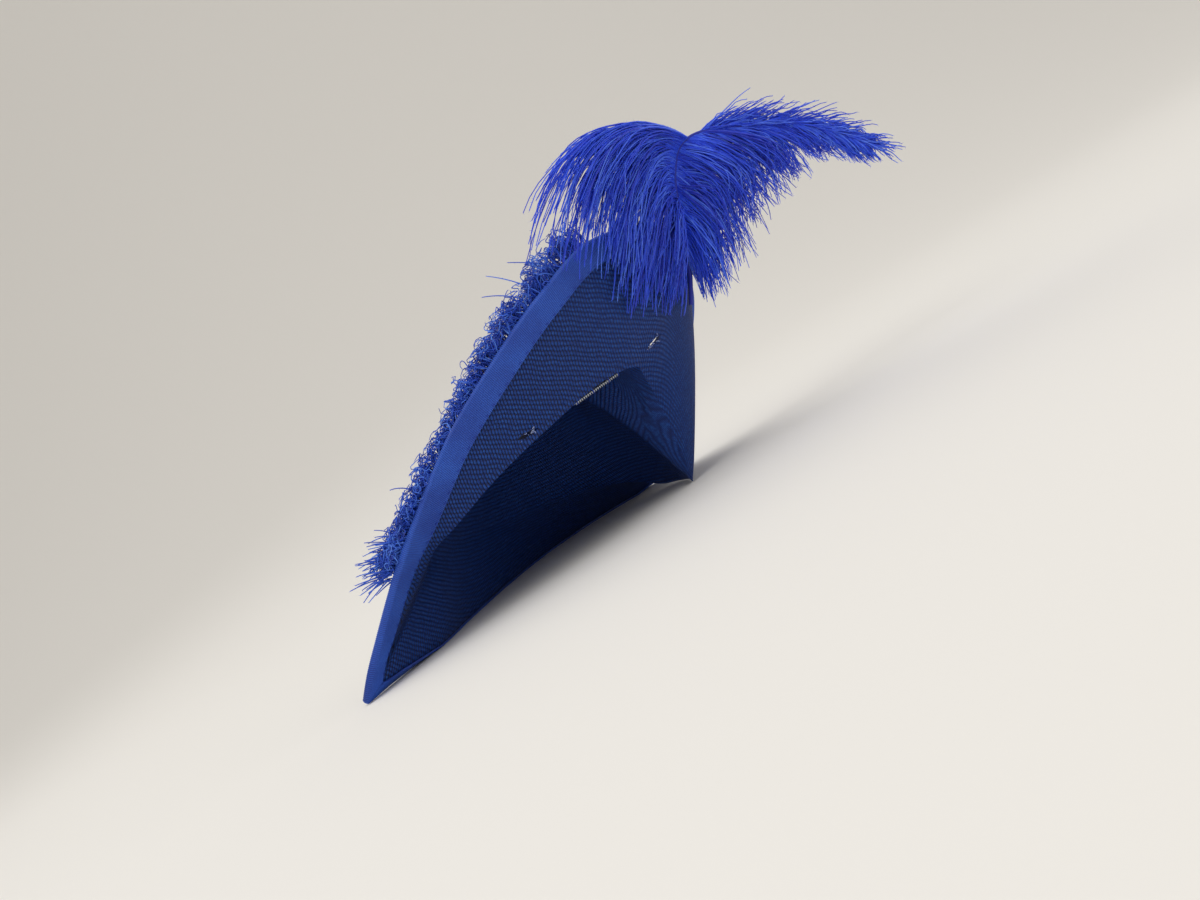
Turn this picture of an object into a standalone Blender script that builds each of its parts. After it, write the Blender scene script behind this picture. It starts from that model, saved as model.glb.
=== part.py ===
"""A straw fascinator: a pointed hat with one side turned up, lying on its rim.

X runs from the point to the back, Y from the turned-up side to the low side, and Z is up.
Every piece is a closed solid, and neighbours stay GAP apart.
"""

import math

import bmesh
import bpy
import numpy as np
from mathutils import Vector

# The hat, in metres
HAT_LENGTH = 0.252  # from the point to the farthest bulge of the back
HAT_WIDTH = 0.180  # across, from the turned-up side to the low side
HAT_HEIGHT = 0.132  # how high the edge of the turned-up side stands
CROWN_HEIGHT = 0.090  # top of the crown above the floor
CROWN_ROUND = 2.3  # the higher, the flatter the crown's top and the steeper its side
STRAW = 0.002  # wall of the straw
GAP = 0.0003  # left between neighbours

# The ribbon that binds the edge
RIBBON = 0.001
RIBBON_WIDTH = 0.0115  # how far each of its two sides reaches in from the edge

# Two slits worn through the straw
SLIT_LENGTH = 0.013
SLIT_WIDTH = 0.0022
SLIT_OUTLINE = ((-0.5, 0.0), (-0.2, 1.0), (0.2, 1.0), (0.5, 0.0), (0.2, -1.0), (-0.2, -1.0))

# The curled ostrich trim inside the turned-up edge
TRIM_BAND = 0.009  # height of its band, below the edge
TRIM_THICK = 0.0015
TRIM_CURL = 0.020  # length of its longest locks
TRIM_PITCH = 0.009  # one lock from the next
TRIM_LENGTHS = (1, 0.82, 0.94, 0.74)  # of the locks in turn, as shares of the longest
TRIM_CURLS = (-0.28, 0.30, -0.10)  # how far the tips of the standing locks lean into the hat, in turn
TRIM_TUCKS = (0.2, -0.25)  # how far the tips of the hanging locks lean outwards, in turn
TRIM_GROWS = 6  # locks from the band's front end to the first of full length
TRIM_LOCK = (0.66, 0.56, 0.24)  # widths along a lock, as shares of the pitch
TRIM_FLATTEN = 0.62  # a lock's thickness as a share of its width

# The ostrich plume
QUILL = 0.0024  # thickness of its shaft
QUILL_TAPER = 0.6  # share of that lost towards its tip
PLUME_RISE = 0.089  # from its foot up to its bend
PLUME_REACH = 0.108  # from its bend to its tip
PLUME_LEAN = math.radians(32)  # how far the shaft leans back
PLUME_TURN = math.radians(47)  # how far its left vane is turned forward, over the hat's edge
PLUME_LOCKS = 20  # on each side of the shaft
LOCK_THICK = 0.0009
LOCK_WIDTH = 0.010
SHORTEST_LOCK = 0.015
LOCK_SHARES = (0.2, 0.45, 0.7, 1.0)  # where along a lock its sections stand
LOCK_THICKS = (1.0, 1.0, 0.9, 0.5)
LOCK_WIDTHS = (0.4, 0.57, 0.9, 0.3)
LOCK_FANS = (0.2, 0.6, 1.0, 1.0)  # how far each section lies to the side of its neighbour's

# The wire comb under the crown
COMB_WIRE = 0.0014
COMB_PITCH = 0.0035
COMB_TEETH = 9
TOOTH_LENGTH = 0.024
COMB_SAG = 0.0030  # how far the comb's middle hangs under the curved crown
TOOTH_BEND = ((0.35, 0.06), (0.7, 0.22), (1.0, 0.42))  # along and down, as shares of its length

COLUMNS_PER_SECTION = 5
BAND_SMOOTHING = 4  # passes that even out the direction of the edge band
CROWN_RINGS = (0.94, 0.82, 0.66, 0.46, 0.24)  # shares of the way out from the crown's top
BRIM_RINGS = (0.3, 0.55, 0.8)  # shares of the way from the edge band to the crown

EDGE_LIFT = STRAW / 2 + GAP + RIBBON  # of the wall's middle, where the bound edge lies on the floor

# The crown's top, as shares of length and width
CROWN_TOP = (0.56, 0.40)

# Sections round the hat. Of each: where the edge, the swell of the brim and the foot of the
# crown stand, as shares of length, width and height, and whether the edge lies flat (1) or
# follows the wall (0).
SECTIONS = {
    "point": ((0.000, 0.000, -0.002), (0.080, 0.056, 0.068), (0.205, 0.260, 0.285), 0),
    "point near": ((0.035, -0.010, 0.070), (0.086, 0.075, 0.108), (0.215, 0.225, 0.300), 0),
    "edge 1": ((0.090, -0.002, 0.172), (0.115, 0.078, 0.160), (0.235, 0.165, 0.320), 0),
    "edge 2": ((0.193, -0.006, 0.350), (0.217, 0.065, 0.325), (0.265, 0.095, 0.345), 0),
    "edge 3": ((0.287, -0.011, 0.490), (0.302, 0.040, 0.410), (0.312, 0.062, 0.372), 0),
    "edge 4": ((0.415, -0.021, 0.663), (0.432, 0.002, 0.550), (0.445, 0.042, 0.452), 0),
    "edge 5": ((0.541, -0.022, 0.787), (0.563, 0.016, 0.640), (0.575, 0.072, 0.505), 0),
    "edge 6": ((0.700, 0.011, 0.920), (0.715, 0.065, 0.730), (0.720, 0.150, 0.545), 0),
    "edge 7": ((0.841, 0.097, 1.000), (0.832, 0.170, 0.630), (0.797, 0.218, 0.515), 0),
    "back 1": ((0.957, 0.218, 0.953), (0.900, 0.262, 0.565), (0.800, 0.296, 0.380), 0),
    "back 2": ((1.000, 0.352, 0.760), (0.935, 0.362, 0.455), (0.774, 0.365, -0.002), 0),
    "back 3": ((0.988, 0.430, 0.655), (0.895, 0.446, 0.410), (0.775, 0.452, -0.003), 0),
    "back 4": ((0.925, 0.545, 0.455), (0.845, 0.553, 0.230), (0.763, 0.552, -0.002), 0),
    "back 5": ((0.845, 0.690, 0.280), (0.790, 0.692, 0.100), (0.730, 0.645, 0.008), 0),
    "low 1": ((0.775, 0.835, 0.060), (0.720, 0.780, 0.050), (0.670, 0.710, 0.075), 0.6),
    "low 2": ((0.685, 0.935, 0.000), (0.630, 0.850, 0.020), (0.575, 0.735, 0.150), 1),
    "low 3": ((0.550, 0.970, 0.000), (0.532, 0.853, 0.020), (0.470, 0.715, 0.200), 1),
    "low 4": ((0.400, 0.900, 0.000), (0.408, 0.790, 0.030), (0.365, 0.640, 0.235), 1),
    "low 5": ((0.265, 0.700, 0.000), (0.304, 0.610, 0.045), (0.300, 0.530, 0.270), 1),
    "front 1": ((0.165, 0.440, 0.000), (0.224, 0.415, 0.050), (0.255, 0.415, 0.285), 1),
    "front 2": ((0.105, 0.215, 0.000), (0.166, 0.212, 0.050), (0.222, 0.325, 0.285), 1),
    "front 3": ((0.035, 0.080, 0.002), (0.101, 0.096, 0.045), (0.207, 0.285, 0.285), 0.4),
}

# Where a piece sits round the hat, as the number of sections passed from the point. Of a slit
# also its share of the way from the edge band to the crown, and its turn in degrees.
SLIT_PLACES = {"slit_by_the_crease": (8.66, 0.61, 118), "slit_by_the_fold": (5.72, 0.84, 15)}
TRIM_FROM = 2.9
TRIM_TO = 7.1
PLUME_AT = 9.8
PLUME_FOOT_RING = 1.6  # its lower end, as rings passed from the edge
COMB_AT = 6.9
COMB_RING = 0.9  # rings passed from the foot of the crown

# The plume in its own plane, across and up from its foot, as shares of PLUME_REACH and
# PLUME_RISE. Of each station: the shaft, then the bend and the end of the locks on its left,
# and the bend and the end of those on its right.
PLUME_EDGE = 0.28  # where it passes the hat's edge
PLUME_STATIONS = (
    ((-0.012, 0.36), (-0.020, 0.42), (-0.030, 0.40), (0.035, 0.36), (0.090, 0.00)),
    ((-0.028, 0.48), (-0.050, 0.58), (-0.060, 0.64), (0.090, 0.50), (0.170, 0.04)),
    ((-0.045, 0.61), (-0.590, 0.92), (-0.850, 0.10), (0.175, 0.68), (0.245, 0.13)),
    ((-0.060, 0.75), (-0.780, 0.93), (-0.960, 0.18), (0.260, 0.86), (0.315, 0.28)),
    ((-0.050, 0.88), (-0.750, 1.02), (-0.920, 0.38), (0.340, 0.95), (0.390, 0.44)),
    ((0.005, 0.98), (-0.500, 1.12), (-0.750, 0.78), (0.420, 0.99), (0.470, 0.57)),
    ((0.110, 1.03), (-0.200, 1.15), (-0.480, 1.06), (0.490, 1.01), (0.550, 0.68)),
    ((0.270, 1.05), (0.110, 1.13), (-0.150, 1.15), (0.570, 1.01), (0.640, 0.77)),
    ((0.490, 1.07), (0.510, 1.14), (0.570, 1.17), (0.680, 1.00), (0.770, 0.84)),
    ((0.710, 1.03), (0.760, 1.09), (0.870, 1.07), (0.810, 0.95), (0.900, 0.83)),
    ((0.900, 0.94), (0.930, 0.96), (0.980, 0.92), (0.930, 0.89), (0.980, 0.85)),
)


def start_clean():
    """Empties the scene, so that the script can be run again."""
    for old in list(bpy.data.objects):
        bpy.data.objects.remove(old, do_unlink=True)


def sRGB(code):
    """A hex colour as the linear values that a shader takes."""
    channels = [int(code[i : i + 2], 16) / 255 for i in (1, 3, 5)]
    linear = [c / 12.92 if c <= 0.04045 else ((c + 0.055) / 1.055) ** 2.4 for c in channels]
    return (*linear, 1.0)


def finish(name, code, roughness, metallic=0.0):
    """A plain Principled material."""
    material = bpy.data.materials.new(name)
    material.use_nodes = True
    shader = material.node_tree.nodes["Principled BSDF"]
    shader.inputs["Base Color"].default_value = sRGB(code)
    shader.inputs["Roughness"].default_value = roughness
    shader.inputs["Metallic"].default_value = metallic
    return material


def unit(vectors):
    vectors = np.asarray(vectors, float)
    length = np.linalg.norm(vectors, axis=-1, keepdims=True)
    return vectors / np.where(length > 1e-12, length, 1.0)


def through(values, places, loop=False):
    """Reads rows of values at fractional row numbers, on a curve that never overshoots a row."""
    values = np.asarray(values, float)
    places = np.asarray(places, float)
    count = len(values)
    if loop:
        step = np.roll(values, -1, axis=0) - values
        before = np.roll(step, 1, axis=0)
    else:
        step = np.diff(values, axis=0)
        step = np.concatenate([step, step[-1:]])
        before = np.concatenate([step[:1], step[:-1]])
    same_way = step * before > 0
    total = np.where(same_way, step + before, 1.0)
    slope = np.where(same_way, 2 * step * before / total, 0.0)
    row = np.floor(places).astype(int)
    row = row % count if loop else np.clip(row, 0, count - 2)
    after = (row + 1) % count
    u = (places - np.floor(places) if loop else places - row)[:, None]
    return (
        values[row] * (1 + 2 * u) * (1 - u) ** 2
        + slope[row] * u * (1 - u) ** 2
        + values[after] * u**2 * (3 - 2 * u)
        + slope[after] * u**2 * (u - 1)
    )


def solid(name, points, faces, material):
    """A closed mesh object whose faces point outwards."""
    work = bmesh.new()
    corners = [work.verts.new(p) for p in points]
    for face in faces:
        work.faces.new([corners[i] for i in face])
    bmesh.ops.triangulate(work, faces=[f for f in work.faces if len(f.verts) > 4])
    bmesh.ops.recalc_face_normals(work, faces=work.faces)
    if work.calc_volume(signed=True) < 0:
        bmesh.ops.reverse_faces(work, faces=work.faces)
    mesh = bpy.data.meshes.new(name)
    work.to_mesh(mesh)
    work.free()
    mesh.materials.append(material)
    made = bpy.data.objects.new(name, mesh)
    bpy.context.scene.collection.objects.link(made)
    return made


class Wall:
    """The middle surface of the straw, as rings of points from the edge to the crown's top."""

    def __init__(self):
        rows = list(SECTIONS.values())
        size = np.array([HAT_LENGTH, HAT_WIDTH, HAT_HEIGHT])
        self.places = np.arange(len(rows) * COLUMNS_PER_SECTION) / COLUMNS_PER_SECTION
        edge, swell, foot = (
            through([np.multiply(row[k], size) for row in rows], self.places, loop=True)
            for k in range(3)
        )
        for points in (edge, swell, foot):
            points[:, 2] += EDGE_LIFT
        flat = np.array([row[3] for row in rows], float)
        flat = np.interp(self.places, np.arange(len(rows) + 1), np.append(flat, flat[0]))
        self.outward = unit(edge - swell)
        for _ in range(BAND_SMOOTHING):
            both = np.roll(self.outward, 1, axis=0) + np.roll(self.outward, -1, axis=0)
            self.outward = unit(2 * self.outward + both)
        self.outward[:, 2] *= 1 - flat
        self.outward = unit(self.outward)
        band = edge - self.outward * RIBBON_WIDTH
        top = np.array([CROWN_TOP[0] * HAT_LENGTH, CROWN_TOP[1] * HAT_WIDTH, CROWN_HEIGHT])
        rings = [edge, band]
        for v in BRIM_RINGS:
            rings.append(band * (1 - v) ** 2 + 2 * swell * v * (1 - v) + foot * v**2)
        rings.append(foot)
        for s in CROWN_RINGS:
            ring = top + (foot - top) * s
            ring[:, 2] = top[2] - (top[2] - foot[:, 2]) * s**CROWN_ROUND
            rings.append(ring)
        self.rings = np.array(rings)
        self.top = top
        self.band_up = self._band_up()
        self.up = self._up()

    def _band_up(self):
        """The edge band's own upward normals, exactly upright where the band lies flat."""
        edge, band = self.rings[0], self.rings[1]
        along = np.roll(edge, -1, axis=0) - np.roll(edge, 1, axis=0)
        along += np.roll(band, -1, axis=0) - np.roll(band, 1, axis=0)
        return unit(np.cross(self.outward, along))

    def _up(self):
        """Offsets of one unit of wall from the middle surface towards the upper side."""
        rings = self.rings
        ring_count, columns = rings.shape[:2]
        sums = np.zeros_like(rings)
        face_normals = []
        for r in range(ring_count - 1):
            a, b = rings[r], rings[r + 1]
            a2, b2 = np.roll(a, -1, axis=0), np.roll(b, -1, axis=0)
            normal = np.cross(b2 - a, a2 - b)
            face_normals.append(unit(normal))
            for ring, shift in ((r, 0), (r, 1), (r + 1, 0), (r + 1, 1)):
                sums[ring] += np.roll(face_normals[r], shift, axis=0)
        up = unit(sums)
        if np.mean(up[-1][:, 2]) < 0:
            up = -up
            face_normals = [-n for n in face_normals]
        lean = np.zeros((ring_count, columns))
        for r in range(ring_count):
            near = [n for k, n in enumerate(face_normals) if k in (r - 1, r)]
            lean[r] = np.mean([np.sum(up[r] * n, axis=1) for n in near], axis=0)
        up /= np.clip(lean, 0.6, 1.0)[:, :, None]
        up[0] = self.band_up
        up[1] = self.band_up
        return up

    def at(self, place, ring):
        """A point, its upward normal and its direction along the rings, at fractional places."""
        columns = len(self.places)
        j = place * COLUMNS_PER_SECTION
        j0 = int(math.floor(j)) % columns
        j1 = (j0 + 1) % columns
        u = j - math.floor(j)
        r0 = min(int(math.floor(ring)), len(self.rings) - 2)
        v = ring - r0

        def mixed(grid):
            here = grid[r0][j0] * (1 - u) + grid[r0][j1] * u
            beyond = grid[r0 + 1][j0] * (1 - u) + grid[r0 + 1][j1] * u
            return here * (1 - v) + beyond * v

        along = (self.rings[r0][j1] - self.rings[r0][j0]) * (1 - v)
        along = along + (self.rings[r0 + 1][j1] - self.rings[r0 + 1][j0]) * v
        return mixed(self.rings), unit(mixed(self.up)), unit(along)


def straw_body(wall, material):
    """One shell: the turned-up brim, the low brim and the crown."""
    ring_count, columns = wall.rings.shape[:2]
    points = []
    for side in (1, -1):
        points.extend((wall.rings + side * STRAW / 2 * wall.up).reshape(-1, 3))
        points.append(wall.top + np.array([0, 0, side * STRAW / 2]))
    layer = ring_count * columns + 1
    faces = []
    for side in (0, 1):
        base = side * layer
        for r in range(ring_count - 1):
            for c in range(columns):
                d = (c + 1) % columns
                a, b = base + r * columns + c, base + r * columns + d
                faces.append((a, b, b + columns))
                faces.append((a, b + columns, a + columns))
        last = base + (ring_count - 1) * columns
        for c in range(columns):
            faces.append((last + c, last + (c + 1) % columns, base + layer - 1))
    for c in range(columns):
        d = (c + 1) % columns
        faces.append((c, d, layer + d, layer + c))
    body = solid("straw_body", points, faces, material)
    for name, (place, share, turn) in SLIT_PLACES.items():
        cut_slit(body, wall, name, place, share, turn)
    return body


def cut_slit(body, wall, name, place, share, turn):
    """Cuts one slit through the brim."""
    ring = 1 + share * (len(BRIM_RINGS) + 1)
    point, up, along = wall.at(place, ring)
    across = unit(np.cross(up, along))
    angle = math.radians(turn)
    run = along * math.cos(angle) + across * math.sin(angle)
    side = unit(np.cross(up, run))
    run = unit(np.cross(side, up))
    depth = STRAW * 1.5
    points = []
    for height in (-depth, depth):
        for x, y in SLIT_OUTLINE:
            spot = point + run * x * SLIT_LENGTH + side * y * SLIT_WIDTH / 2
            points.append(spot + up * height)
    count = len(SLIT_OUTLINE)
    faces = [tuple(range(count)), tuple(range(2 * count - 1, count - 1, -1))]
    faces += [(i, (i + 1) % count, count + (i + 1) % count, count + i) for i in range(count)]
    cutter = solid(name, points, faces, body.data.materials[0])
    cutter.hide_render = True
    cutter.display_type = "WIRE"
    cut = body.modifiers.new(name, "BOOLEAN")
    cut.operation = "DIFFERENCE"
    cut.solver = "EXACT"
    cut.object = cutter


def edge_binding(wall, material):
    """The ribbon folded over the edge all the way round."""
    edge, band = wall.rings[0], wall.rings[1]
    out, up = wall.outward, wall.band_up
    inner = STRAW / 2 + GAP
    outer = inner + RIBBON
    section = (
        (band, 0, -outer),
        (edge, GAP, -outer),
        (edge, GAP + RIBBON, -inner),
        (edge, GAP + RIBBON, inner),
        (edge, GAP, outer),
        (band, 0, outer),
        (band, 0, inner),
        (edge, GAP, inner),
        (edge, GAP, -inner),
        (band, 0, -inner),
    )
    loops = [line + out * reach + up * height for line, reach, height in section]
    turned_back = (5, 6, 9)  # bands of faces that run from the edge inwards, split the other way
    columns = len(edge)
    points = np.concatenate(loops)
    faces = []
    for k in range(len(loops)):
        m = (k + 1) % len(loops)
        for c in range(columns):
            d = (c + 1) % columns
            a, b = k * columns + c, k * columns + d
            a2, b2 = m * columns + c, m * columns + d
            if k in turned_back:
                faces += [(a, b, a2), (b, b2, a2)]
            else:
                faces += [(a, b, b2), (a, b2, a2)]
    return solid("edge_binding", points, faces, material)


class Strip:
    """A solid strip whose side faces can be drawn out into locks or teeth."""

    def __init__(self):
        self.points = []
        self.faces = []

    def add(self, corners):
        first = len(self.points)
        self.points.extend(corners)
        return list(range(first, first + len(corners)))

    def band(self, one, other, leave_out=()):
        """Joins two rings of corners by their sides, except those left out."""
        for k in range(len(one)):
            if k not in leave_out:
                m = (k + 1) % len(one)
                self.faces.append((one[k], one[m], other[m], other[k]))

    def draw_out(self, root, rings):
        """Draws the face with the root's corners out through the rings, and closes it."""
        last = root
        for ring in rings:
            new = self.add(ring)
            self.band(last, new)
            last = new
        self.faces.append(tuple(last))

    def made(self, name, material):
        return solid(name, self.points, self.faces, material)


def lock_rings(root, path, thick, wide, wide_axis):
    """Rings of a lock along a path. The root's corners run round as (outer far, outer near,
    inner near, inner far), where near is against wide_axis."""
    rings = []
    before = np.mean(root, axis=0)
    outer = (root[0] + root[1]) / 2 - before
    for k, point in enumerate(path):
        after = path[k + 1] if k + 1 < len(path) else point + (point - before)
        normal = unit(np.cross(unit(after - before), wide_axis))
        if normal @ outer < 0:
            normal = -normal
        outer = normal
        t, w = normal * thick[k] / 2, wide_axis * wide[k] / 2
        rings.append([point + t + w, point + t - w, point - t - w, point - t + w])
        before = point
    return rings


def bezier(start, bend, end, shares):
    return [start * (1 - u) ** 2 + bend * 2 * u * (1 - u) + end * u**2 for u in shares]


def trim_stations(wall):
    """Even steps along the turned-up edge: of each the edge, outwards and upwards."""
    columns = len(wall.places)
    grid = np.concatenate([wall.rings[0], wall.outward, wall.band_up], axis=1)
    fine = np.linspace(TRIM_FROM, TRIM_TO, 200) * COLUMNS_PER_SECTION
    column = np.floor(fine).astype(int)
    share = (fine - column)[:, None]
    read = grid[column % columns] * (1 - share) + grid[(column + 1) % columns] * share
    run = np.concatenate([[0], np.cumsum(np.linalg.norm(np.diff(read[:, :3], axis=0), axis=1))])
    count = int(round(run[-1] / TRIM_PITCH))
    steps = np.linspace(0, run[-1], count + 1)
    even = np.stack([np.interp(steps, run, values) for values in read.T], axis=1)
    return even[:, :3], unit(even[:, 3:6]), unit(even[:, 6:])


def trim_lock(strip, root, bend, end, along, thick_axis):
    """Draws one lock of the trim out of a face of its band, which is wound as its rings are."""
    start = np.mean([strip.points[k] for k in root], axis=0)
    path = bezier(start, start + bend, start + end, (0.4, 0.75, 1))
    rings = []
    for point, width in zip(path, TRIM_LOCK):
        w = along * width * TRIM_PITCH / 2
        t = thick_axis * width * TRIM_PITCH / 2 * TRIM_FLATTEN
        rings.append([point - t - w, point - t + w, point + t + w, point + t - w])
    strip.draw_out(root, rings)


def curled_trim(wall, material):
    """Curled ostrich barbs on a narrow band inside the turned-up edge."""
    # The band stands off by the chord's sag as well, so that it clears the ribbon's bend
    near = STRAW / 2 + GAP + RIBBON + GAP + GAP
    far = near + TRIM_THICK
    edges, outs, ups = trim_stations(wall)
    strip = Strip()
    rings = []
    for edge, out, up in zip(edges, outs, ups):
        under, over = edge - out * TRIM_BAND, edge + out * TRIM_THICK
        corners = (over + up * far, over + up * near, under + up * near, under + up * far)
        rings.append(strip.add(corners))
    strip.faces.append(tuple(rings[0]))
    strip.faces.append(tuple(reversed(rings[-1])))
    for i in range(len(edges) - 1):
        strip.band(rings[i], rings[i + 1], leave_out=(0, 3))
        out, up = unit(outs[i] + outs[i + 1]), unit(ups[i] + ups[i + 1])
        along = unit(edges[i + 1] - edges[i])
        grow = 0.55 + 0.45 * math.sin(math.pi * min(1.0, (i + 1.5) / TRIM_GROWS))
        length = TRIM_CURL * grow * TRIM_LENGTHS[i % len(TRIM_LENGTHS)]
        # A lock that stands up over the edge and curls over it or inwards
        root = [rings[i][1], rings[i + 1][1], rings[i + 1][0], rings[i][0]]
        tip = out * length + up * TRIM_CURLS[i % len(TRIM_CURLS)] * length
        trim_lock(strip, root, out * length * 0.75, tip, along, up)
        # A shorter lock that curls down into the hat
        root = [rings[i][3], rings[i + 1][3], rings[i + 1][0], rings[i][0]]
        reach = up * length * 0.62
        tip = reach + out * length * TRIM_TUCKS[i % len(TRIM_TUCKS)]
        trim_lock(strip, root, reach, tip, along, out)
    return strip.made("curled_trim", material)


def plume(wall, material):
    """One ostrich plume: a shaft that stands up against the outside of the back, bends and
    reaches out behind, with locks of barbs on both sides."""
    by_straw = STRAW / 2 + GAP + QUILL * math.sqrt(0.5)
    by_ribbon = by_straw + GAP + RIBBON + GAP
    seat = []
    for ring, stand in ((PLUME_FOOT_RING, by_straw), (1, by_ribbon), (0, by_ribbon)):
        point, up, _ = wall.at(PLUME_AT, ring)
        seat.append(point - up * stand)
    across = np.array([math.cos(PLUME_LEAN), 0, -math.sin(PLUME_LEAN)])
    rise = np.array([math.sin(PLUME_LEAN), 0, math.cos(PLUME_LEAN)])
    deep = np.array([0.0, 1.0, 0.0])
    left_across = across * math.cos(PLUME_TURN) + deep * math.sin(PLUME_TURN)
    left_deep = np.cross(rise, left_across)
    foot = seat[-1] - rise * PLUME_EDGE * PLUME_RISE

    def place(pair, sideways):
        sideways = sideways if pair[0] < 0 else across
        return foot + sideways * pair[0] + rise * pair[1]

    table = np.array(PLUME_STATIONS) * (PLUME_REACH, PLUME_RISE)
    spots = np.linspace(0, len(table) - 1, PLUME_LOCKS + 1)
    read = through(table.reshape(len(table), -1), spots).reshape(-1, 5, 2)
    shaft = [foot + across * row[0][0] + rise * row[0][1] for row in read]
    line = seat + shaft
    strip = Strip()
    rings = []
    left = -across
    for k, point in enumerate(line):
        ahead = unit(line[min(k + 1, len(line) - 1)] - line[max(k - 1, 0)])
        turned = unit(np.cross(ahead, deep))
        left = turned if turned @ left > 0 else -turned
        half = QUILL / 2 * (1 - QUILL_TAPER * k / len(line))
        corners = (
            point + left * half + deep * half,
            point + left * half - deep * half,
            point - left * half - deep * half,
            point - left * half + deep * half,
        )
        rings.append(strip.add(corners))
    strip.faces.append(tuple(rings[0]))
    strip.faces.append(tuple(reversed(rings[-1])))
    for i in range(len(line) - 1):
        k = i - len(seat)
        if k < 0:
            strip.band(rings[i], rings[i + 1])
            continue
        strip.band(rings[i], rings[i + 1], leave_out=(0, 2))
        middle = (read[k] + read[k + 1]) / 2
        fan = LOCK_WIDTH * (0.5, -0.5)[k % 2]
        sides = ((0, 1, 1, 2, left_across, left_deep), (3, 2, 3, 4, across, deep))
        for first, second, bend, end, sideways, flat in sides:
            far, near = rings[i + 1], rings[i]
            root = [far[first], far[second], near[second], near[first]]
            corners = [strip.points[n] for n in root]
            start = np.mean(corners, axis=0)
            bend, end = place(middle[bend], sideways), place(middle[end], sideways)
            reach = np.linalg.norm(end - start)
            if reach < SHORTEST_LOCK:
                strip.faces.append(tuple(root))
                continue
            full = min(1.0, reach / (2 * LOCK_WIDTH))
            path = bezier(start, bend, end, LOCK_SHARES)
            path = [p + flat * fan * full * s for p, s in zip(path, LOCK_FANS)]
            thick = LOCK_THICK * np.array(LOCK_THICKS)
            wide = LOCK_WIDTH * full * np.array(LOCK_WIDTHS)
            strip.draw_out(root, lock_rings(corners, path, thick, wide, flat))
    return strip.made("plume", material)


def wire_comb(wall, material):
    """A wire comb sewn under the crown, its teeth pointing to the crown's top."""
    foot_ring = len(BRIM_RINGS) + 2
    clear = STRAW / 2 + GAP + COMB_WIRE / 2
    strip = Strip()
    point, up, along = wall.at(COMB_AT, foot_ring + COMB_RING)
    inward = wall.top - np.array([0, 0, CROWN_HEIGHT / 3]) - point
    along = unit(along - up * (along @ up))
    inward = unit(np.cross(along, up)) * np.sign(np.cross(along, up) @ inward)
    half = COMB_WIRE / 2
    back = point - up * (clear + COMB_SAG)
    segments = 2 * COMB_TEETH - 1
    rings = []
    for k in range(segments + 1):
        center = back + along * (k - segments / 2) * COMB_PITCH / 2
        corners = (
            center + inward * half - up * half,
            center + inward * half + up * half,
            center - inward * half + up * half,
            center - inward * half - up * half,
        )
        rings.append(strip.add(corners))
    strip.faces.append(tuple(rings[0]))
    strip.faces.append(tuple(reversed(rings[-1])))
    for k in range(segments):
        tooth = k % 2 == 0
        strip.band(rings[k], rings[k + 1], leave_out=(0,) if tooth else ())
        if not tooth:
            continue
        root = [rings[k][0], rings[k][1], rings[k + 1][1], rings[k + 1][0]]
        start = np.mean([strip.points[n] for n in root], axis=0)
        w = along * COMB_PITCH / 4
        teeth = []
        h = up * half
        for share, drop in TOOTH_BEND:
            center = start + inward * share * TOOTH_LENGTH - up * drop * TOOTH_LENGTH
            teeth.append([center - w - h, center - w + h, center + w + h, center + w - h])
        strip.draw_out(root, teeth)
    return strip.made("wire_comb", material)


def stand_on_origin(objects):
    """Moves the whole hat so that the middle of its box stands on the origin."""
    bpy.context.view_layer.update()
    graph = bpy.context.evaluated_depsgraph_get()
    corners = []
    for item in objects:
        mesh = item.evaluated_get(graph).to_mesh()
        corners.extend(v.co.copy() for v in mesh.vertices)
        item.evaluated_get(graph).to_mesh_clear()
    low = Vector([min(c[k] for c in corners) for k in range(3)])
    high = Vector([max(c[k] for c in corners) for k in range(3)])
    middle = (low + high) / 2
    home = bpy.data.objects.new("hat_origin", None)
    bpy.context.scene.collection.objects.link(home)
    home.location = (-middle.x, -middle.y, -low.z)
    for item in bpy.data.objects:
        if item is not home:
            item.parent = home


def main():
    start_clean()
    wall = Wall()
    straw = finish("woven straw", "#123A80", 0.5)
    ribbon = finish("petersham ribbon", "#1F49B5", 0.6)
    trim = finish("curled ostrich", "#1C46B8", 0.75)
    feather = finish("ostrich plume", "#2440D8", 0.7)
    wire = finish("plated wire", "#B9BEC6", 0.3, 1.0)
    made = [
        straw_body(wall, straw),
        edge_binding(wall, ribbon),
        curled_trim(wall, trim),
        plume(wall, feather),
        wire_comb(wall, wire),
    ]
    stand_on_origin(made)


main()
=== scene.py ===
"""A straw fascinator with one side turned up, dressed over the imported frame.

X runs from the point to the back, Y from the turned-up side to the low side, and Z is up.
"""

import math

import bmesh
import bpy
import numpy as np
from mathutils import Matrix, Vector
from mathutils.bvhtree import BVHTree


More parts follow.
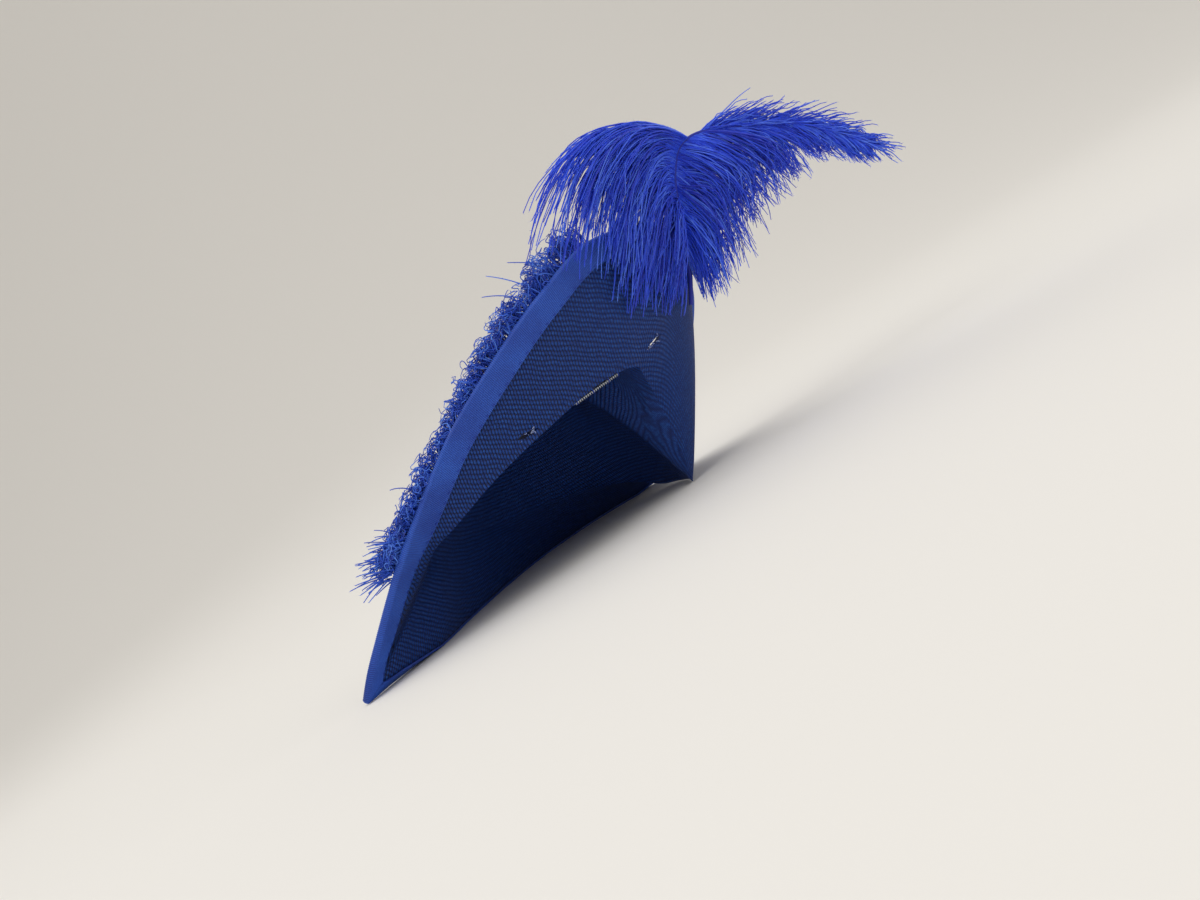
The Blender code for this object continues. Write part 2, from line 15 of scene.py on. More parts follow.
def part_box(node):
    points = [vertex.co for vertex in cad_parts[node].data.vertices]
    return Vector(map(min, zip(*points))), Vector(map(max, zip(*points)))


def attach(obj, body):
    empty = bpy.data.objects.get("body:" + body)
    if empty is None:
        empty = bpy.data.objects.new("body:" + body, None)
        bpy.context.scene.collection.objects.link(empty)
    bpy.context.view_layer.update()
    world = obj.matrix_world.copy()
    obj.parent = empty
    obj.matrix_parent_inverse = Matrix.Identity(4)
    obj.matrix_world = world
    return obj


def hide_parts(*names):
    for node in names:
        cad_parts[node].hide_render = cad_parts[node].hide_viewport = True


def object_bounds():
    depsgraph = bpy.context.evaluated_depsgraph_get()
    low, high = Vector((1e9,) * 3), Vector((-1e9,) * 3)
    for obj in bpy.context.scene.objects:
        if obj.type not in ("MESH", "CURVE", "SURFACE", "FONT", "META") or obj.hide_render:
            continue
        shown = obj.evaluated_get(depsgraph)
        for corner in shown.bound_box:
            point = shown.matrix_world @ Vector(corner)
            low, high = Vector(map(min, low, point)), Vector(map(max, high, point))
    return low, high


bl_info = {
    "name": "Straw Fascinator",
    "version": (1, 0, 0),
    "blender": (4, 5, 0),
    "location": "3D View > Sidebar > Fascinator",
    "description": "Weaves, binds and trims a straw fascinator",
    "category": "Add Mesh",
}

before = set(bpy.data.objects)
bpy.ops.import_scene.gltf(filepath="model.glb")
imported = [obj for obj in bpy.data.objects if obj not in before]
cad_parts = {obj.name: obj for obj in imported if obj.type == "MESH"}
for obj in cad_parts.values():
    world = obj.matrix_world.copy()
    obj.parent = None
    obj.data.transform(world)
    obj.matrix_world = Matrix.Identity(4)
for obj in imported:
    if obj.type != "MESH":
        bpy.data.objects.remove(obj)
CAD_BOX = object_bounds()

# The hat's own measures, as its solids have them, in metres
HAT_LENGTH = 0.252
HAT_WIDTH = 0.180
HAT_HEIGHT = 0.132
CROWN_HEIGHT = 0.090
CROWN_ROUND = 2.3  # the higher, the flatter the crown's top
CROWN_TOP = (0.56, 0.40)  # its place, as shares of length and width
STRAW = 0.002
GAP = 0.0003  # between pieces that lie on each other
RIBBON = 0.001
RIBBON_WIDTH = 0.0115
EDGE_LIFT = STRAW / 2 + GAP + RIBBON  # from the table to the middle of the straw
SLIT_LENGTH = 0.013
SLIT_WIDTH = 0.0022
# Along and across a slit, as shares of its length and of half its width
SLIT_OUTLINE = ((-0.5, 0.0), (-0.2, 1.0), (0.2, 1.0), (0.5, 0.0), (0.2, -1.0), (-0.2, -1.0))
QUILL = 0.0024
QUILL_TAPER = 0.6
PLUME_RISE = 0.089
PLUME_REACH = 0.108
PLUME_LEAN = math.radians(32)
PLUME_TURN = math.radians(47)
PLUME_EDGE = 0.28  # where the shaft crosses the hat's edge, as a share of PLUME_RISE
COMB_WIRE = 0.0014
COMB_SAG = 0.0030
TOOTH_LENGTH = 0.024
# A comb's tooth, as shares of its length: inward, and down from its bar
TOOTH = ((0, 0), (0.2, 0.01), (0.4, 0.07), (0.6, 0.16), (0.8, 0.27), (0.96, 0.38))

STEPS = 5  # columns to a section, in the solids
SMOOTHING = 4  # passes that even out the way the edge points
BRIM_RINGS = (0.3, 0.55, 0.8)
CROWN_RINGS = (0.94, 0.82, 0.66, 0.46, 0.24)

# Sections round the hat: the edge, the swell of the brim and the foot of the crown, as shares
# of length, width and height, and whether the edge lies flat
SECTIONS = (
    ((0.000, 0.000, -0.002), (0.080, 0.056, 0.068), (0.205, 0.260, 0.285), 0),
    ((0.035, -0.010, 0.070), (0.086, 0.075, 0.108), (0.215, 0.225, 0.300), 0),
    ((0.090, -0.002, 0.172), (0.115, 0.078, 0.160), (0.235, 0.165, 0.320), 0),
    ((0.193, -0.006, 0.350), (0.217, 0.065, 0.325), (0.265, 0.095, 0.345), 0),
    ((0.287, -0.011, 0.490), (0.302, 0.040, 0.410), (0.312, 0.062, 0.372), 0),
    ((0.415, -0.021, 0.663), (0.432, 0.002, 0.550), (0.445, 0.042, 0.452), 0),
    ((0.541, -0.022, 0.787), (0.563, 0.016, 0.640), (0.575, 0.072, 0.505), 0),
    ((0.700, 0.011, 0.920), (0.715, 0.065, 0.730), (0.720, 0.150, 0.545), 0),
    ((0.841, 0.097, 1.000), (0.832, 0.170, 0.630), (0.797, 0.218, 0.515), 0),
    ((0.957, 0.218, 0.953), (0.900, 0.262, 0.565), (0.800, 0.296, 0.380), 0),
    ((1.000, 0.352, 0.760), (0.935, 0.362, 0.455), (0.774, 0.365, -0.002), 0),
    ((0.988, 0.430, 0.655), (0.895, 0.446, 0.410), (0.775, 0.452, -0.003), 0),
    ((0.925, 0.545, 0.455), (0.845, 0.553, 0.230), (0.763, 0.552, -0.002), 0),
    ((0.845, 0.690, 0.280), (0.790, 0.692, 0.100), (0.730, 0.645, 0.008), 0),
    ((0.775, 0.835, 0.060), (0.720, 0.780, 0.050), (0.670, 0.710, 0.075), 0.6),
    ((0.685, 0.935, 0.000), (0.630, 0.850, 0.020), (0.575, 0.735, 0.150), 1),
    ((0.550, 0.970, 0.000), (0.532, 0.853, 0.020), (0.470, 0.715, 0.200), 1),
    ((0.400, 0.900, 0.000), (0.408, 0.790, 0.030), (0.365, 0.640, 0.235), 1),
    ((0.265, 0.700, 0.000), (0.304, 0.610, 0.045), (0.300, 0.530, 0.270), 1),
    ((0.165, 0.440, 0.000), (0.224, 0.415, 0.050), (0.255, 0.415, 0.285), 1),
    ((0.105, 0.215, 0.000), (0.166, 0.212, 0.050), (0.222, 0.325, 0.285), 1),
    ((0.035, 0.080, 0.002), (0.101, 0.096, 0.045), (0.207, 0.285, 0.285), 0.4),
)
# Places round the hat are given in sections from here on
SLITS = ((8.66, 0.61, 118), (5.72, 0.84, 15))  # place, share of the brim, turn in degrees
TRIM_FROM = 2.9
TRIM_TO = 8.0
# How far the trim's barbs reach by place, then the few that stand off it: place, length, tilt
TRIM_REACH = ((2.9, 0.011), (3.6, 0.010), (4.6, 0.013), (6.0, 0.017), (7.0, 0.023), (8.0, 0.026))
STRAY_BARBS = ((7.05, 0.030, 0.75), (6.9, 0.026, 0.55), (4.2, 0.016, 0.5), (7.5, 0.03, 0.6))
PLUME_AT = 9.8
PLUME_FOOT_RING = 1.6
COMB_AT = 6.9
COMB_RING = 0.9

# The plume's shaft, then the bends and ends of the barbs behind it, as shares of reach and rise
PLUME_STATIONS = (
    ((-0.012, 0.36), (0.035, 0.36), (0.090, 0.00)),
    ((-0.028, 0.48), (0.090, 0.50), (0.170, 0.04)),
    ((-0.045, 0.61), (0.175, 0.68), (0.245, 0.13)),
    ((-0.060, 0.75), (0.260, 0.86), (0.315, 0.28)),
    ((-0.050, 0.88), (0.340, 0.95), (0.390, 0.44)),
    ((0.005, 0.98), (0.420, 0.99), (0.470, 0.57)),
    ((0.110, 1.03), (0.490, 1.01), (0.550, 0.68)),
    ((0.270, 1.05), (0.570, 1.01), (0.640, 0.77)),
    ((0.490, 1.07), (0.680, 1.00), (0.770, 0.84)),
    ((0.710, 1.03), (0.810, 0.95), (0.900, 0.83)),
    ((0.900, 0.94), (0.930, 0.89), (0.980, 0.85)),
)
SHAFT_ROWS = 6  # of them, those that the left vane grows from
SHAFT_TOP = 0.98
TAIL_FROM = 5.6  # the row where the tail's upper barbs start

# The left vane from its outermost barb to its innermost: how far up the shaft it starts, then
# its bend and its end, in the same shares
LEFT_FALL = (
    (0.98, -0.80, 1.08, -1.04, 0.30),
    (0.97, -0.66, 1.06, -0.80, 0.26),
    (0.93, -0.55, 0.99, -0.64, 0.22),
    (0.85, -0.42, 0.86, -0.48, 0.12),
    (0.70, -0.27, 0.70, -0.34, 0.04),
    (0.52, -0.14, 0.50, -0.20, 0.00),
    (0.38, -0.06, 0.36, -0.10, -0.04),
)

BARB_POINTS = 15
LONG_BARB = 0.05  # a shorter barb strays less
BARB_CLEAR = 0.0018  # from a barb's middle to the hat that it lies on
LEFT_CLUMP = 6  # barbs that cling together
VANE_CLUMP = 7
TRIM_CLUMP = 9

# As worn, the hat is turned this far: its rows of straw run level then
WORN_TILT = math.radians(32)
WORN_UP = np.array([math.sin(WORN_TILT), 0, math.cos(WORN_TILT)])
WORN_BACK = np.array([math.cos(WORN_TILT), 0, -math.sin(WORN_TILT)])


def sRGB(code):
    """A hex colour as the linear values that a shader takes."""
    channels = [int(code[i : i + 2], 16) / 255 for i in (1, 3, 5)]
    linear = [c / 12.92 if c <= 0.04045 else ((c + 0.055) / 1.055) ** 2.4 for c in channels]
    return (*linear, 1.0)


def unit(vectors):
    vectors = np.asarray(vectors, float)
    length = np.linalg.norm(vectors, axis=-1, keepdims=True)
    return vectors / np.where(length > 1e-12, length, 1.0)


def eased(x):
    """0 below 0, 1 above 1 and smooth in between."""
    x = np.clip(x, 0.0, 1.0)
    return x * x * (3 - 2 * x)


def through(values, places, loop=False):
    """Reads rows of values at fractional row numbers, on a curve that never overshoots a row."""
    values = np.asarray(values, float)
    places = np.asarray(places, float)
    count = len(values)
    if loop:
        step = np.roll(values, -1, axis=0) - values
        before = np.roll(step, 1, axis=0)
    else:
        step = np.diff(values, axis=0)
        step = np.concatenate([step, step[-1:]])
        before = np.concatenate([step[:1], step[:-1]])
    same_way = step * before > 0
    total = np.where(same_way, step + before, 1.0)
    slope = np.where(same_way, 2 * step * before / total, 0.0)
    row = np.floor(places).astype(int)
    row = row % count if loop else np.clip(row, 0, count - 2)
    after = (row + 1) % count
    u = (places - np.floor(places) if loop else places - row)[:, None]
    return (
        values[row] * (1 + 2 * u) * (1 - u) ** 2
        + slope[row] * u * (1 - u) ** 2
        + values[after] * u**2 * (3 - 2 * u)
        + slope[after] * u**2 * (u - 1)
    )


def bezier(start, bend, end, shares):
    shares = np.asarray(shares)[:, None]
    return start * (1 - shares) ** 2 + bend * 2 * shares * (1 - shares) + end * shares**2


class Wall:
    """The middle surface of the straw, as rings of points from the edge to the crown's top."""

    def __init__(self, steps=STEPS, brim=BRIM_RINGS, crown=CROWN_RINGS, lead=None):
        size = np.array([HAT_LENGTH, HAT_WIDTH, HAT_HEIGHT])
        self.steps = steps
        self.foot_ring = len(brim) + 2
        self.places = np.arange(len(SECTIONS) * steps) / steps
        edge, swell, foot = (
            through([np.multiply(row[k], size) for row in SECTIONS], self.places, loop=True)
            for k in range(3)
        )
        for points in (edge, swell, foot):
            points[:, 2] += EDGE_LIFT
        if lead:
            self.outward = unit(through(lead.outward, self.places * lead.steps, loop=True))
        else:
            flat = np.array([row[3] for row in SECTIONS], float)
            flat = np.interp(self.places, np.arange(len(flat) + 1), np.append(flat, flat[0]))
            self.outward = unit(edge - swell)
            for _ in range(SMOOTHING):
                both = np.roll(self.outward, 1, axis=0) + np.roll(self.outward, -1, axis=0)
                self.outward = unit(2 * self.outward + both)
            self.outward[:, 2] *= 1 - flat
            self.outward = unit(self.outward)
        band = edge - self.outward * RIBBON_WIDTH
        top = np.array([CROWN_TOP[0] * HAT_LENGTH, CROWN_TOP[1] * HAT_WIDTH, CROWN_HEIGHT])
        rings = [edge, band]
        for v in brim:
            rings.append(band * (1 - v) ** 2 + 2 * swell * v * (1 - v) + foot * v**2)
        rings.append(foot)
        for s in crown:
            ring = top + (foot - top) * s
            ring[:, 2] = top[2] - (top[2] - foot[:, 2]) * s**CROWN_ROUND
            rings.append(ring)
        self.rings = np.array(rings)
        self.top = top
        along = np.roll(edge, -1, axis=0) - np.roll(edge, 1, axis=0)
        along += np.roll(band, -1, axis=0) - np.roll(band, 1, axis=0)
        self.band_up = unit(np.cross(self.outward, along))
        self.up = self._up()

    def _up(self):
        """Offsets of one unit of wall from the middle surface towards the upper side."""
        rings = self.rings
        sums = np.zeros_like(rings)
        normals = []
        for r in range(len(rings) - 1):
            a, b = rings[r], rings[r + 1]
            a2, b2 = np.roll(a, -1, axis=0), np.roll(b, -1, axis=0)
            normals.append(unit(np.cross(b2 - a, a2 - b)))
            for ring, shift in ((r, 0), (r, 1), (r + 1, 0), (r + 1, 1)):
                sums[ring] += np.roll(normals[r], shift, axis=0)
        up = unit(sums)
        if np.mean(up[-1][:, 2]) < 0:
            up = -up
            normals = [-n for n in normals]
        for r in range(len(rings)):
            near = [n for k, n in enumerate(normals) if k in (r - 1, r)]
            lean = np.mean([np.sum(up[r] * n, axis=1) for n in near], axis=0)
            up[r] /= np.clip(lean, 0.6, 1.0)[:, None]
        up[0] = self.band_up
        up[1] = self.band_up
        return up

    def at(self, place, ring):
        """A point, its upward normal and its direction along the rings, at fractional places."""
        columns = len(self.places)
        j = place * self.steps
        j0 = int(math.floor(j)) % columns
        j1 = (j0 + 1) % columns
        u = j - math.floor(j)
        r0 = min(int(math.floor(ring)), len(self.rings) - 2)
        v = ring - r0

        def mixed(grid):
            here = grid[r0][j0] * (1 - u) + grid[r0][j1] * u
            beyond = grid[r0 + 1][j0] * (1 - u) + grid[r0 + 1][j1] * u
            return here * (1 - v) + beyond * v

        along = (self.rings[r0][j1] - self.rings[r0][j0]) * (1 - v)
        along = along + (self.rings[r0 + 1][j1] - self.rings[r0 + 1][j0]) * v
        return mixed(self.rings), unit(mixed(self.up)), unit(along)

    def edge_at(self, place):
        """The edge, its outward and its upward direction and its run, at one place."""
        columns = len(self.places)
        j = place * self.steps
        j0 = int(math.floor(j)) % columns
        j1 = (j0 + 1) % columns
        u = j - math.floor(j)
        edge, out, up = (
            grid[j0] * (1 - u) + grid[j1] * u
            for grid in (self.rings[0], self.outward, self.band_up)
        )
        return edge, unit(out), unit(up), unit(self.rings[0][j1] - self.rings[0][j0])


WALL = Wall()
LOW_CORNER = np.min(
    [(WALL.rings + side * STRAW / 2 * WALL.up).reshape(-1, 3).min(axis=0) for side in (1, -1)], axis=0
)
HOME = np.array(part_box("straw_body")[0]) - LOW_CORNER  # from the point of the hat to the frame


def placed(name, data):
    """A new object in the scene, at the origin."""
    made = bpy.data.objects.new(name, data)
    bpy.context.scene.collection.objects.link(made)
    return made


def mesh_object(name, points, faces, material, rows=None, shift=HOME):
    """A mesh object in the frame. rows gives each face's corners their place in the weave."""
    mesh = bpy.data.meshes.new(name)
    mesh.from_pydata([tuple(p) for p in np.asarray(points) + shift], [], faces)
    if rows is not None:
        layer = mesh.uv_layers.new(name="rows")
        layer.data.foreach_set("uv", np.asarray(rows, float).ravel())
    work = bmesh.new()
    work.from_mesh(mesh)
    bmesh.ops.recalc_face_normals(work, faces=work.faces)
    if work.calc_volume(signed=True) < 0:
        bmesh.ops.reverse_faces(work, faces=work.faces)
    work.to_mesh(mesh)
    work.free()
    mesh.materials.append(material)
    mesh.shade_smooth()
    return placed(name, mesh)


def lines_object(name, lines, thick, tone):
    """Polylines as the edges of a mesh, with how thick and how bright each point is."""
    counts = [len(line) for line in lines]
    ends = np.cumsum(counts)
    links = []
    for end, count in zip(ends, counts):
        links += [(k, k + 1) for k in range(end - count, end - 1)]
    mesh = bpy.data.meshes.new(name)
    mesh.from_pydata([tuple(p) for p in np.concatenate(lines) + HOME], links, [])
    for key, values in (("thick", np.concatenate(thick)), ("tone", np.repeat(tone, counts))):
        layer = mesh.attributes.new(key, "FLOAT", "POINT")
        layer.data.foreach_set("value", np.asarray(values, float))
    return placed(name, mesh)


def add(tree, kind, inputs=(), **settings):
    """Adds a node. inputs names or numbers its sockets, with a value, node or socket for each."""
    made = tree.nodes.new(kind)
    for key, value in settings.items():
        setattr(made, key, value)
    for key, value in dict(inputs).items():
        if isinstance(value, bpy.types.Node):
            value = value.outputs[0]
        if isinstance(value, bpy.types.NodeSocket):
            tree.links.new(value, made.inputs[key])
        else:
            made.inputs[key].default_value = value
    return made


def new_material(name):
    """A material, its nodes, its Principled shader and the place that its textures read."""
    material = bpy.data.materials.new(name)
    material.use_nodes = True
    tree = material.node_tree
    place = add(tree, "ShaderNodeTexCoord").outputs["Object"]
    return material, tree, tree.nodes["Principled BSDF"], place


def settled(item):
    """Keeps what an object's modifiers make as its own mesh, and takes them off."""
    graph = bpy.context.evaluated_depsgraph_get()
    mesh = bpy.data.meshes.new_from_object(item.evaluated_get(graph), depsgraph=graph)
    if not len(mesh.polygons):
        raise RuntimeError(f"{item.name} came out empty")
    item.modifiers.clear()
    item.data = mesh
    mesh.name = item.name
    return item


def grown(item, group, values):
    """Runs a node group on an object with these named inputs, and keeps the result as its mesh."""
    modifier = item.modifiers.new(group.name, "NODES")
    modifier.node_group = group
    for socket in group.interface.items_tree:
        if socket.item_type == "SOCKET" and socket.in_out == "INPUT" and socket.name in values:
            modifier[socket.identifier] = values[socket.name]
    return settled(item)


def new_group(name, sockets):
    """An empty geometry node group with these inputs after its geometry."""
    tree = bpy.data.node_groups.new(name, "GeometryNodeTree")
    tree.interface.new_socket("Geometry", in_out="OUTPUT", socket_type="NodeSocketGeometry")
    tree.interface.new_socket("Geometry", in_out="INPUT", socket_type="NodeSocketGeometry")
    for label, kind, value in sockets:
        socket = tree.interface.new_socket(label, in_out="INPUT", socket_type=kind)
        if value is not None:
            socket.default_value = value
    return tree, tree.nodes.new("NodeGroupInput").outputs


def barbs_group():
    """Turns polylines into barbs: a thin stem each, with fine barbules all along it."""
    tree, given = new_group(
        "Barbs",
        (
            ("Stem", "NodeSocketFloat", 1.0),
            ("Barbule spacing", "NodeSocketFloat", 0.0016),
            ("Barbule length", "NodeSocketFloat", 0.0014),
            ("Barbule width", "NodeSocketFloat", 0.0001),
            ("Seed", "NodeSocketInt", 1),
            ("Material", "NodeSocketMaterial", None),
        ),
    )
    thick = add(tree, "GeometryNodeInputNamedAttribute", {"Name": "thick"}, data_type="FLOAT")
    curves = add(tree, "GeometryNodeMeshToCurve", {"Mesh": given["Geometry"]})
    width = add(tree, "ShaderNodeMath", {0: thick, 1: given["Stem"]}, operation="MULTIPLY")
    profile = add(tree, "GeometryNodeCurvePrimitiveCircle", {"Resolution": 3, "Radius": 1.0})
    stems = add(
        tree, "GeometryNodeCurveToMesh", {"Curve": curves, "Profile Curve": profile, "Scale": width}
    )
    spaced = add(
        tree,
        "GeometryNodeResampleCurve",
        {"Curve": curves, "Length": given["Barbule spacing"]},
        mode="LENGTH",
    )
    dots = add(tree, "GeometryNodeCurveToPoints", {"Curve": spaced}, mode="EVALUATED")
    aside = add(
        tree,
        "FunctionNodeRandomValue",
        {0: (-1, -1, -1), 1: (1, 1, 1), "Seed": given["Seed"]},
        data_type="FLOAT_VECTOR",
    )
    ahead = add(tree, "ShaderNodeVectorMath", {0: dots.outputs["Tangent"], "Scale": 0.75}, operation="SCALE")
    way = add(tree, "ShaderNodeVectorMath", {0: aside, 1: ahead}, operation="ADD")
    turn = add(tree, "FunctionNodeAlignRotationToVector", {"Vector": way}, axis="Z")
    spike = add(
        tree,
        "GeometryNodeMeshCone",
        {
            "Vertices": 3,
            "Radius Top": 0.0,
            "Radius Bottom": given["Barbule width"],
            "Depth": given["Barbule length"],
        },
        fill_type="NONE",
    )
    uneven = add(
        tree,
        "FunctionNodeRandomValue",
        {2: 0.5, 3: 1.15, "Seed": given["Seed"]},
        data_type="FLOAT",
    )
    barbules = add(
        tree,
        "GeometryNodeInstanceOnPoints",
        {"Points": dots, "Instance": spike, "Rotation": turn, "Scale": uneven.outputs[1]},
    )
    both = add(tree, "GeometryNodeJoinGeometry")
    tree.links.new(stems.outputs[0], both.inputs[0])
    tree.links.new(barbules.outputs[0], both.inputs[0])
    real = add(tree, "GeometryNodeRealizeInstances", {"Geometry": both})
    done = add(tree, "GeometryNodeSetMaterial", {"Geometry": real, "Material": given["Material"]})
    add(tree, "NodeGroupOutput", {"Geometry": done})
    return tree


def along_edge_group():
    """Repeats one item along an edge loop, turned as the attributes out and up say."""
    tree, given = new_group(
        "Along the edge",
        (
            ("Spacing", "NodeSocketFloat", 0.00095),
            ("Item", "NodeSocketObject", None),
            ("Material", "NodeSocketMaterial", None),
        ),
    )
    curve = add(tree, "GeometryNodeMeshToCurve", {"Mesh": given["Geometry"]})
    spaced = add(
        tree, "GeometryNodeResampleCurve", {"Curve": curve, "Length": given["Spacing"]}, mode="LENGTH"
    )
    out = add(tree, "GeometryNodeInputNamedAttribute", {"Name": "out"}, data_type="FLOAT_VECTOR")
    up = add(tree, "GeometryNodeInputNamedAttribute", {"Name": "up"}, data_type="FLOAT_VECTOR")
    turn = add(
        tree,
        "FunctionNodeAxesToRotation",
        {"Primary Axis": up, "Secondary Axis": out},
        primary_axis="Z",
        secondary_axis="Y",
    )
    item = add(tree, "GeometryNodeObjectInfo", {"Object": given["Item"]})
    copies = add(
        tree,
        "GeometryNodeInstanceOnPoints",
        {"Points": spaced, "Instance": item.outputs["Geometry"], "Rotation": turn},
    )
    real = add(tree, "GeometryNodeRealizeInstances", {"Geometry": copies})
    done = add(tree, "GeometryNodeSetMaterial", {"Geometry": real, "Material": given["Material"]})
    add(tree, "NodeGroupOutput", {"Geometry": done})
    return tree


def wires_group():
    """Turns polylines into round wires, as thick as each point says."""
    tree, given = new_group(
        "Wires", (("Sides", "NodeSocketInt", 8), ("Material", "NodeSocketMaterial", None))
    )
    thick = add(tree, "GeometryNodeInputNamedAttribute", {"Name": "thick"}, data_type="FLOAT")
    curves = add(tree, "GeometryNodeMeshToCurve", {"Mesh": given["Geometry"]})
    profile = add(tree, "GeometryNodeCurvePrimitiveCircle", {"Resolution": given["Sides"], "Radius": 1.0})
    wires = add(
        tree,
        "GeometryNodeCurveToMesh",
        {"Curve": curves, "Profile Curve": profile, "Scale": thick, "Fill Caps": True},
    )
    smooth = add(tree, "GeometryNodeSetShadeSmooth", {"Geometry": wires})
    real = add(tree, "GeometryNodeRealizeInstances", {"Geometry": smooth})
    done = add(tree, "GeometryNodeSetMaterial", {"Geometry": real, "Material": given["Material"]})
    add(tree, "NodeGroupOutput", {"Geometry": done})
    return tree


# Materials


def straw_material(look):
    """Dyed woven straw: satin strands in rows, with painted shade in the gaps between the stitches and in the
    grooves between the rows, and a painted highlight on the raised strands.
    """
    material, tree, shader, place = new_material("Dyed woven straw")
    rows = add(tree, "ShaderNodeUVMap", uv_map="rows")
    # Hand-drawn rows stray by a third of a row over 9 mm
    stray = add(tree, "ShaderNodeTexNoise", {"Vector": place, "Scale": 1 / 0.009, "Detail": 2.0})
    centred = add(
        tree, "ShaderNodeVectorMath", {0: stray.outputs["Color"], 1: (0.5, 0.5, 0.5)}, operation="SUBTRACT"
    )
    pull = add(tree, "ShaderNodeVectorMath", {0: centred, "Scale": 0.9}, operation="SCALE")
    drawn = add(tree, "ShaderNodeVectorMath", {0: rows, 1: pull}, operation="ADD")
    parts = add(tree, "ShaderNodeSeparateXYZ", {0: drawn})
    across = add(tree, "ShaderNodeMath", {0: parts.outputs[1]}, operation="FRACT")
    row = add(tree, "ShaderNodeMath", {0: parts.outputs[1]}, operation="FLOOR")
    shift = add(tree, "ShaderNodeMath", {0: row, 1: 0.5}, operation="MULTIPLY")
    slant = add(tree, "ShaderNodeMath", {0: across, 1: 0.35, 2: shift}, operation="MULTIPLY_ADD")
    moved = add(tree, "ShaderNodeMath", {0: parts.outputs[0], 1: slant}, operation="ADD")
    stitch = add(tree, "ShaderNodeMath", {0: moved}, operation="FRACT")
    dips = []
    for value in (across, stitch):
        middle = add(tree, "ShaderNodeMath", {0: value, 1: 0.5}, operation="SUBTRACT")
        double = add(tree, "ShaderNodeMath", {0: middle, 1: 2.0}, operation="MULTIPLY")
        dips.append(add(tree, "ShaderNodeMath", {0: double, 1: double}, operation="MULTIPLY"))
    line, between = dips
    # The weave is more open towards the point
    axes = add(tree, "ShaderNodeSeparateXYZ", {0: place})
    opened = add(
        tree,
        "ShaderNodeMapRange",
        {0: axes.outputs[0], 1: look.open_from, 2: look.open_to, 3: 1.0, 4: 0.6},
        interpolation_type="SMOOTHSTEP",
    )
    # Painted shade: the open stitches and the grooves between the rows are darkened towards the gap colour
    half = add(tree, "ShaderNodeMath", {0: line, 1: 0.5, 2: 0.5}, operation="MULTIPLY_ADD")
    gap = add(tree, "ShaderNodeMath", {0: between, 1: half}, operation="MULTIPLY")
    hole = add(
        tree, "ShaderNodeMapRange", {0: gap, 1: 0.16, 2: 0.5, 3: 0.0, 4: 1.0}, interpolation_type="SMOOTHSTEP"
    )
    holes = add(tree, "ShaderNodeMath", {0: hole, 1: opened}, operation="MULTIPLY")
    groove_shade = add(
        tree,
        "ShaderNodeMapRange",
        {0: line, 1: 0.5, 2: 1.0, 3: 0.0, 4: 0.35},
        interpolation_type="SMOOTHSTEP",
    )
    dark = add(tree, "ShaderNodeMath", {0: holes, 1: groove_shade}, operation="MAXIMUM")
    rounded = add(tree, "ShaderNodeMath", {0: between, 1: 0.4, 2: line}, operation="MULTIPLY_ADD")
    height = add(tree, "ShaderNodeMath", {0: 1.4, 1: rounded}, operation="SUBTRACT")
    sunk = add(tree, "ShaderNodeMath", {0: height, 1: dark}, operation="SUBTRACT")
    # Painted highlight: the raised middles of the strands are painted lighter, mottled by the straw's own
    # uneven tone
    patch = add(tree, "ShaderNodeTexNoise", {"Vector": place, "Scale": 1 / 0.0012, "Detail": 3.0})
    bright = add(tree, "ShaderNodeMath", {0: height, 1: patch}, operation="MULTIPLY")
    lit = add(
        tree,
        "ShaderNodeMapRange",
        {0: bright, 1: 0.35, 2: 0.95, 3: 0.0, 4: 1.0},
        interpolation_type="SMOOTHSTEP",
    )
    dyed = add(tree, "ShaderNodeMix", {0: lit, 6: look.colour, 7: look.light_colour}, data_type="RGBA")
    # The painted shade in the gaps and grooves is mixed in here
    shade = add(
        tree, "ShaderNodeMix", {0: dark, 6: dyed.outputs[2], 7: look.gap_shade_colour}, data_type="RGBA"
    )
    bump = add(tree, "ShaderNodeBump", {"Height": sunk, "Strength": 0.8, "Distance": 0.0004})
    tree.links.new(shade.outputs[2], shader.inputs["Base Color"])
    tree.links.new(bump.outputs[0], shader.inputs["Normal"])
    shader.inputs["Roughness"].default_value = 0.55
    shader.inputs["Specular IOR Level"].default_value = 0.3
    return material


def ribbon_material(name, colour, light):
    """Woven petersham: dull rayon yarns, some painted lighter as a shine."""
    material, tree, shader, place = new_material(name)
    # Yarns about 0.25 mm across, drawn at 0.5 mm so that they show
    yarn = add(tree, "ShaderNodeTexNoise", {"Vector": place, "Scale": 1 / 0.0005, "Detail": 2.0})
    broad = add(tree, "ShaderNodeTexNoise", {"Vector": place, "Scale": 1 / 0.02, "Detail": 2.0})
    # Painted shine: in broad patches the yarns are painted towards the lighter colour; this mask is no wear,
    # it mixes that painted shine with the yarns' own uneven tone
    worn = add(tree, "ShaderNodeMath", {0: yarn, 1: broad}, operation="MULTIPLY")
    share = add(tree, "ShaderNodeMapRange", {0: worn, 1: 0.12, 2: 0.42, 3: 0.0, 4: 1.0})
    dyed = add(tree, "ShaderNodeMix", {0: share, 6: colour, 7: light}, data_type="RGBA")
    bump = add(tree, "ShaderNodeBump", {"Height": yarn, "Strength": 0.35, "Distance": 0.0001})
    tree.links.new(dyed.outputs[2], shader.inputs["Base Color"])
    tree.links.new(bump.outputs[0], shader.inputs["Normal"])
    shader.inputs["Roughness"].default_value = 0.62
    shader.inputs["Sheen Weight"].default_value = 0.08
    shader.inputs["Sheen Roughness"].default_value = 0.4
    return material


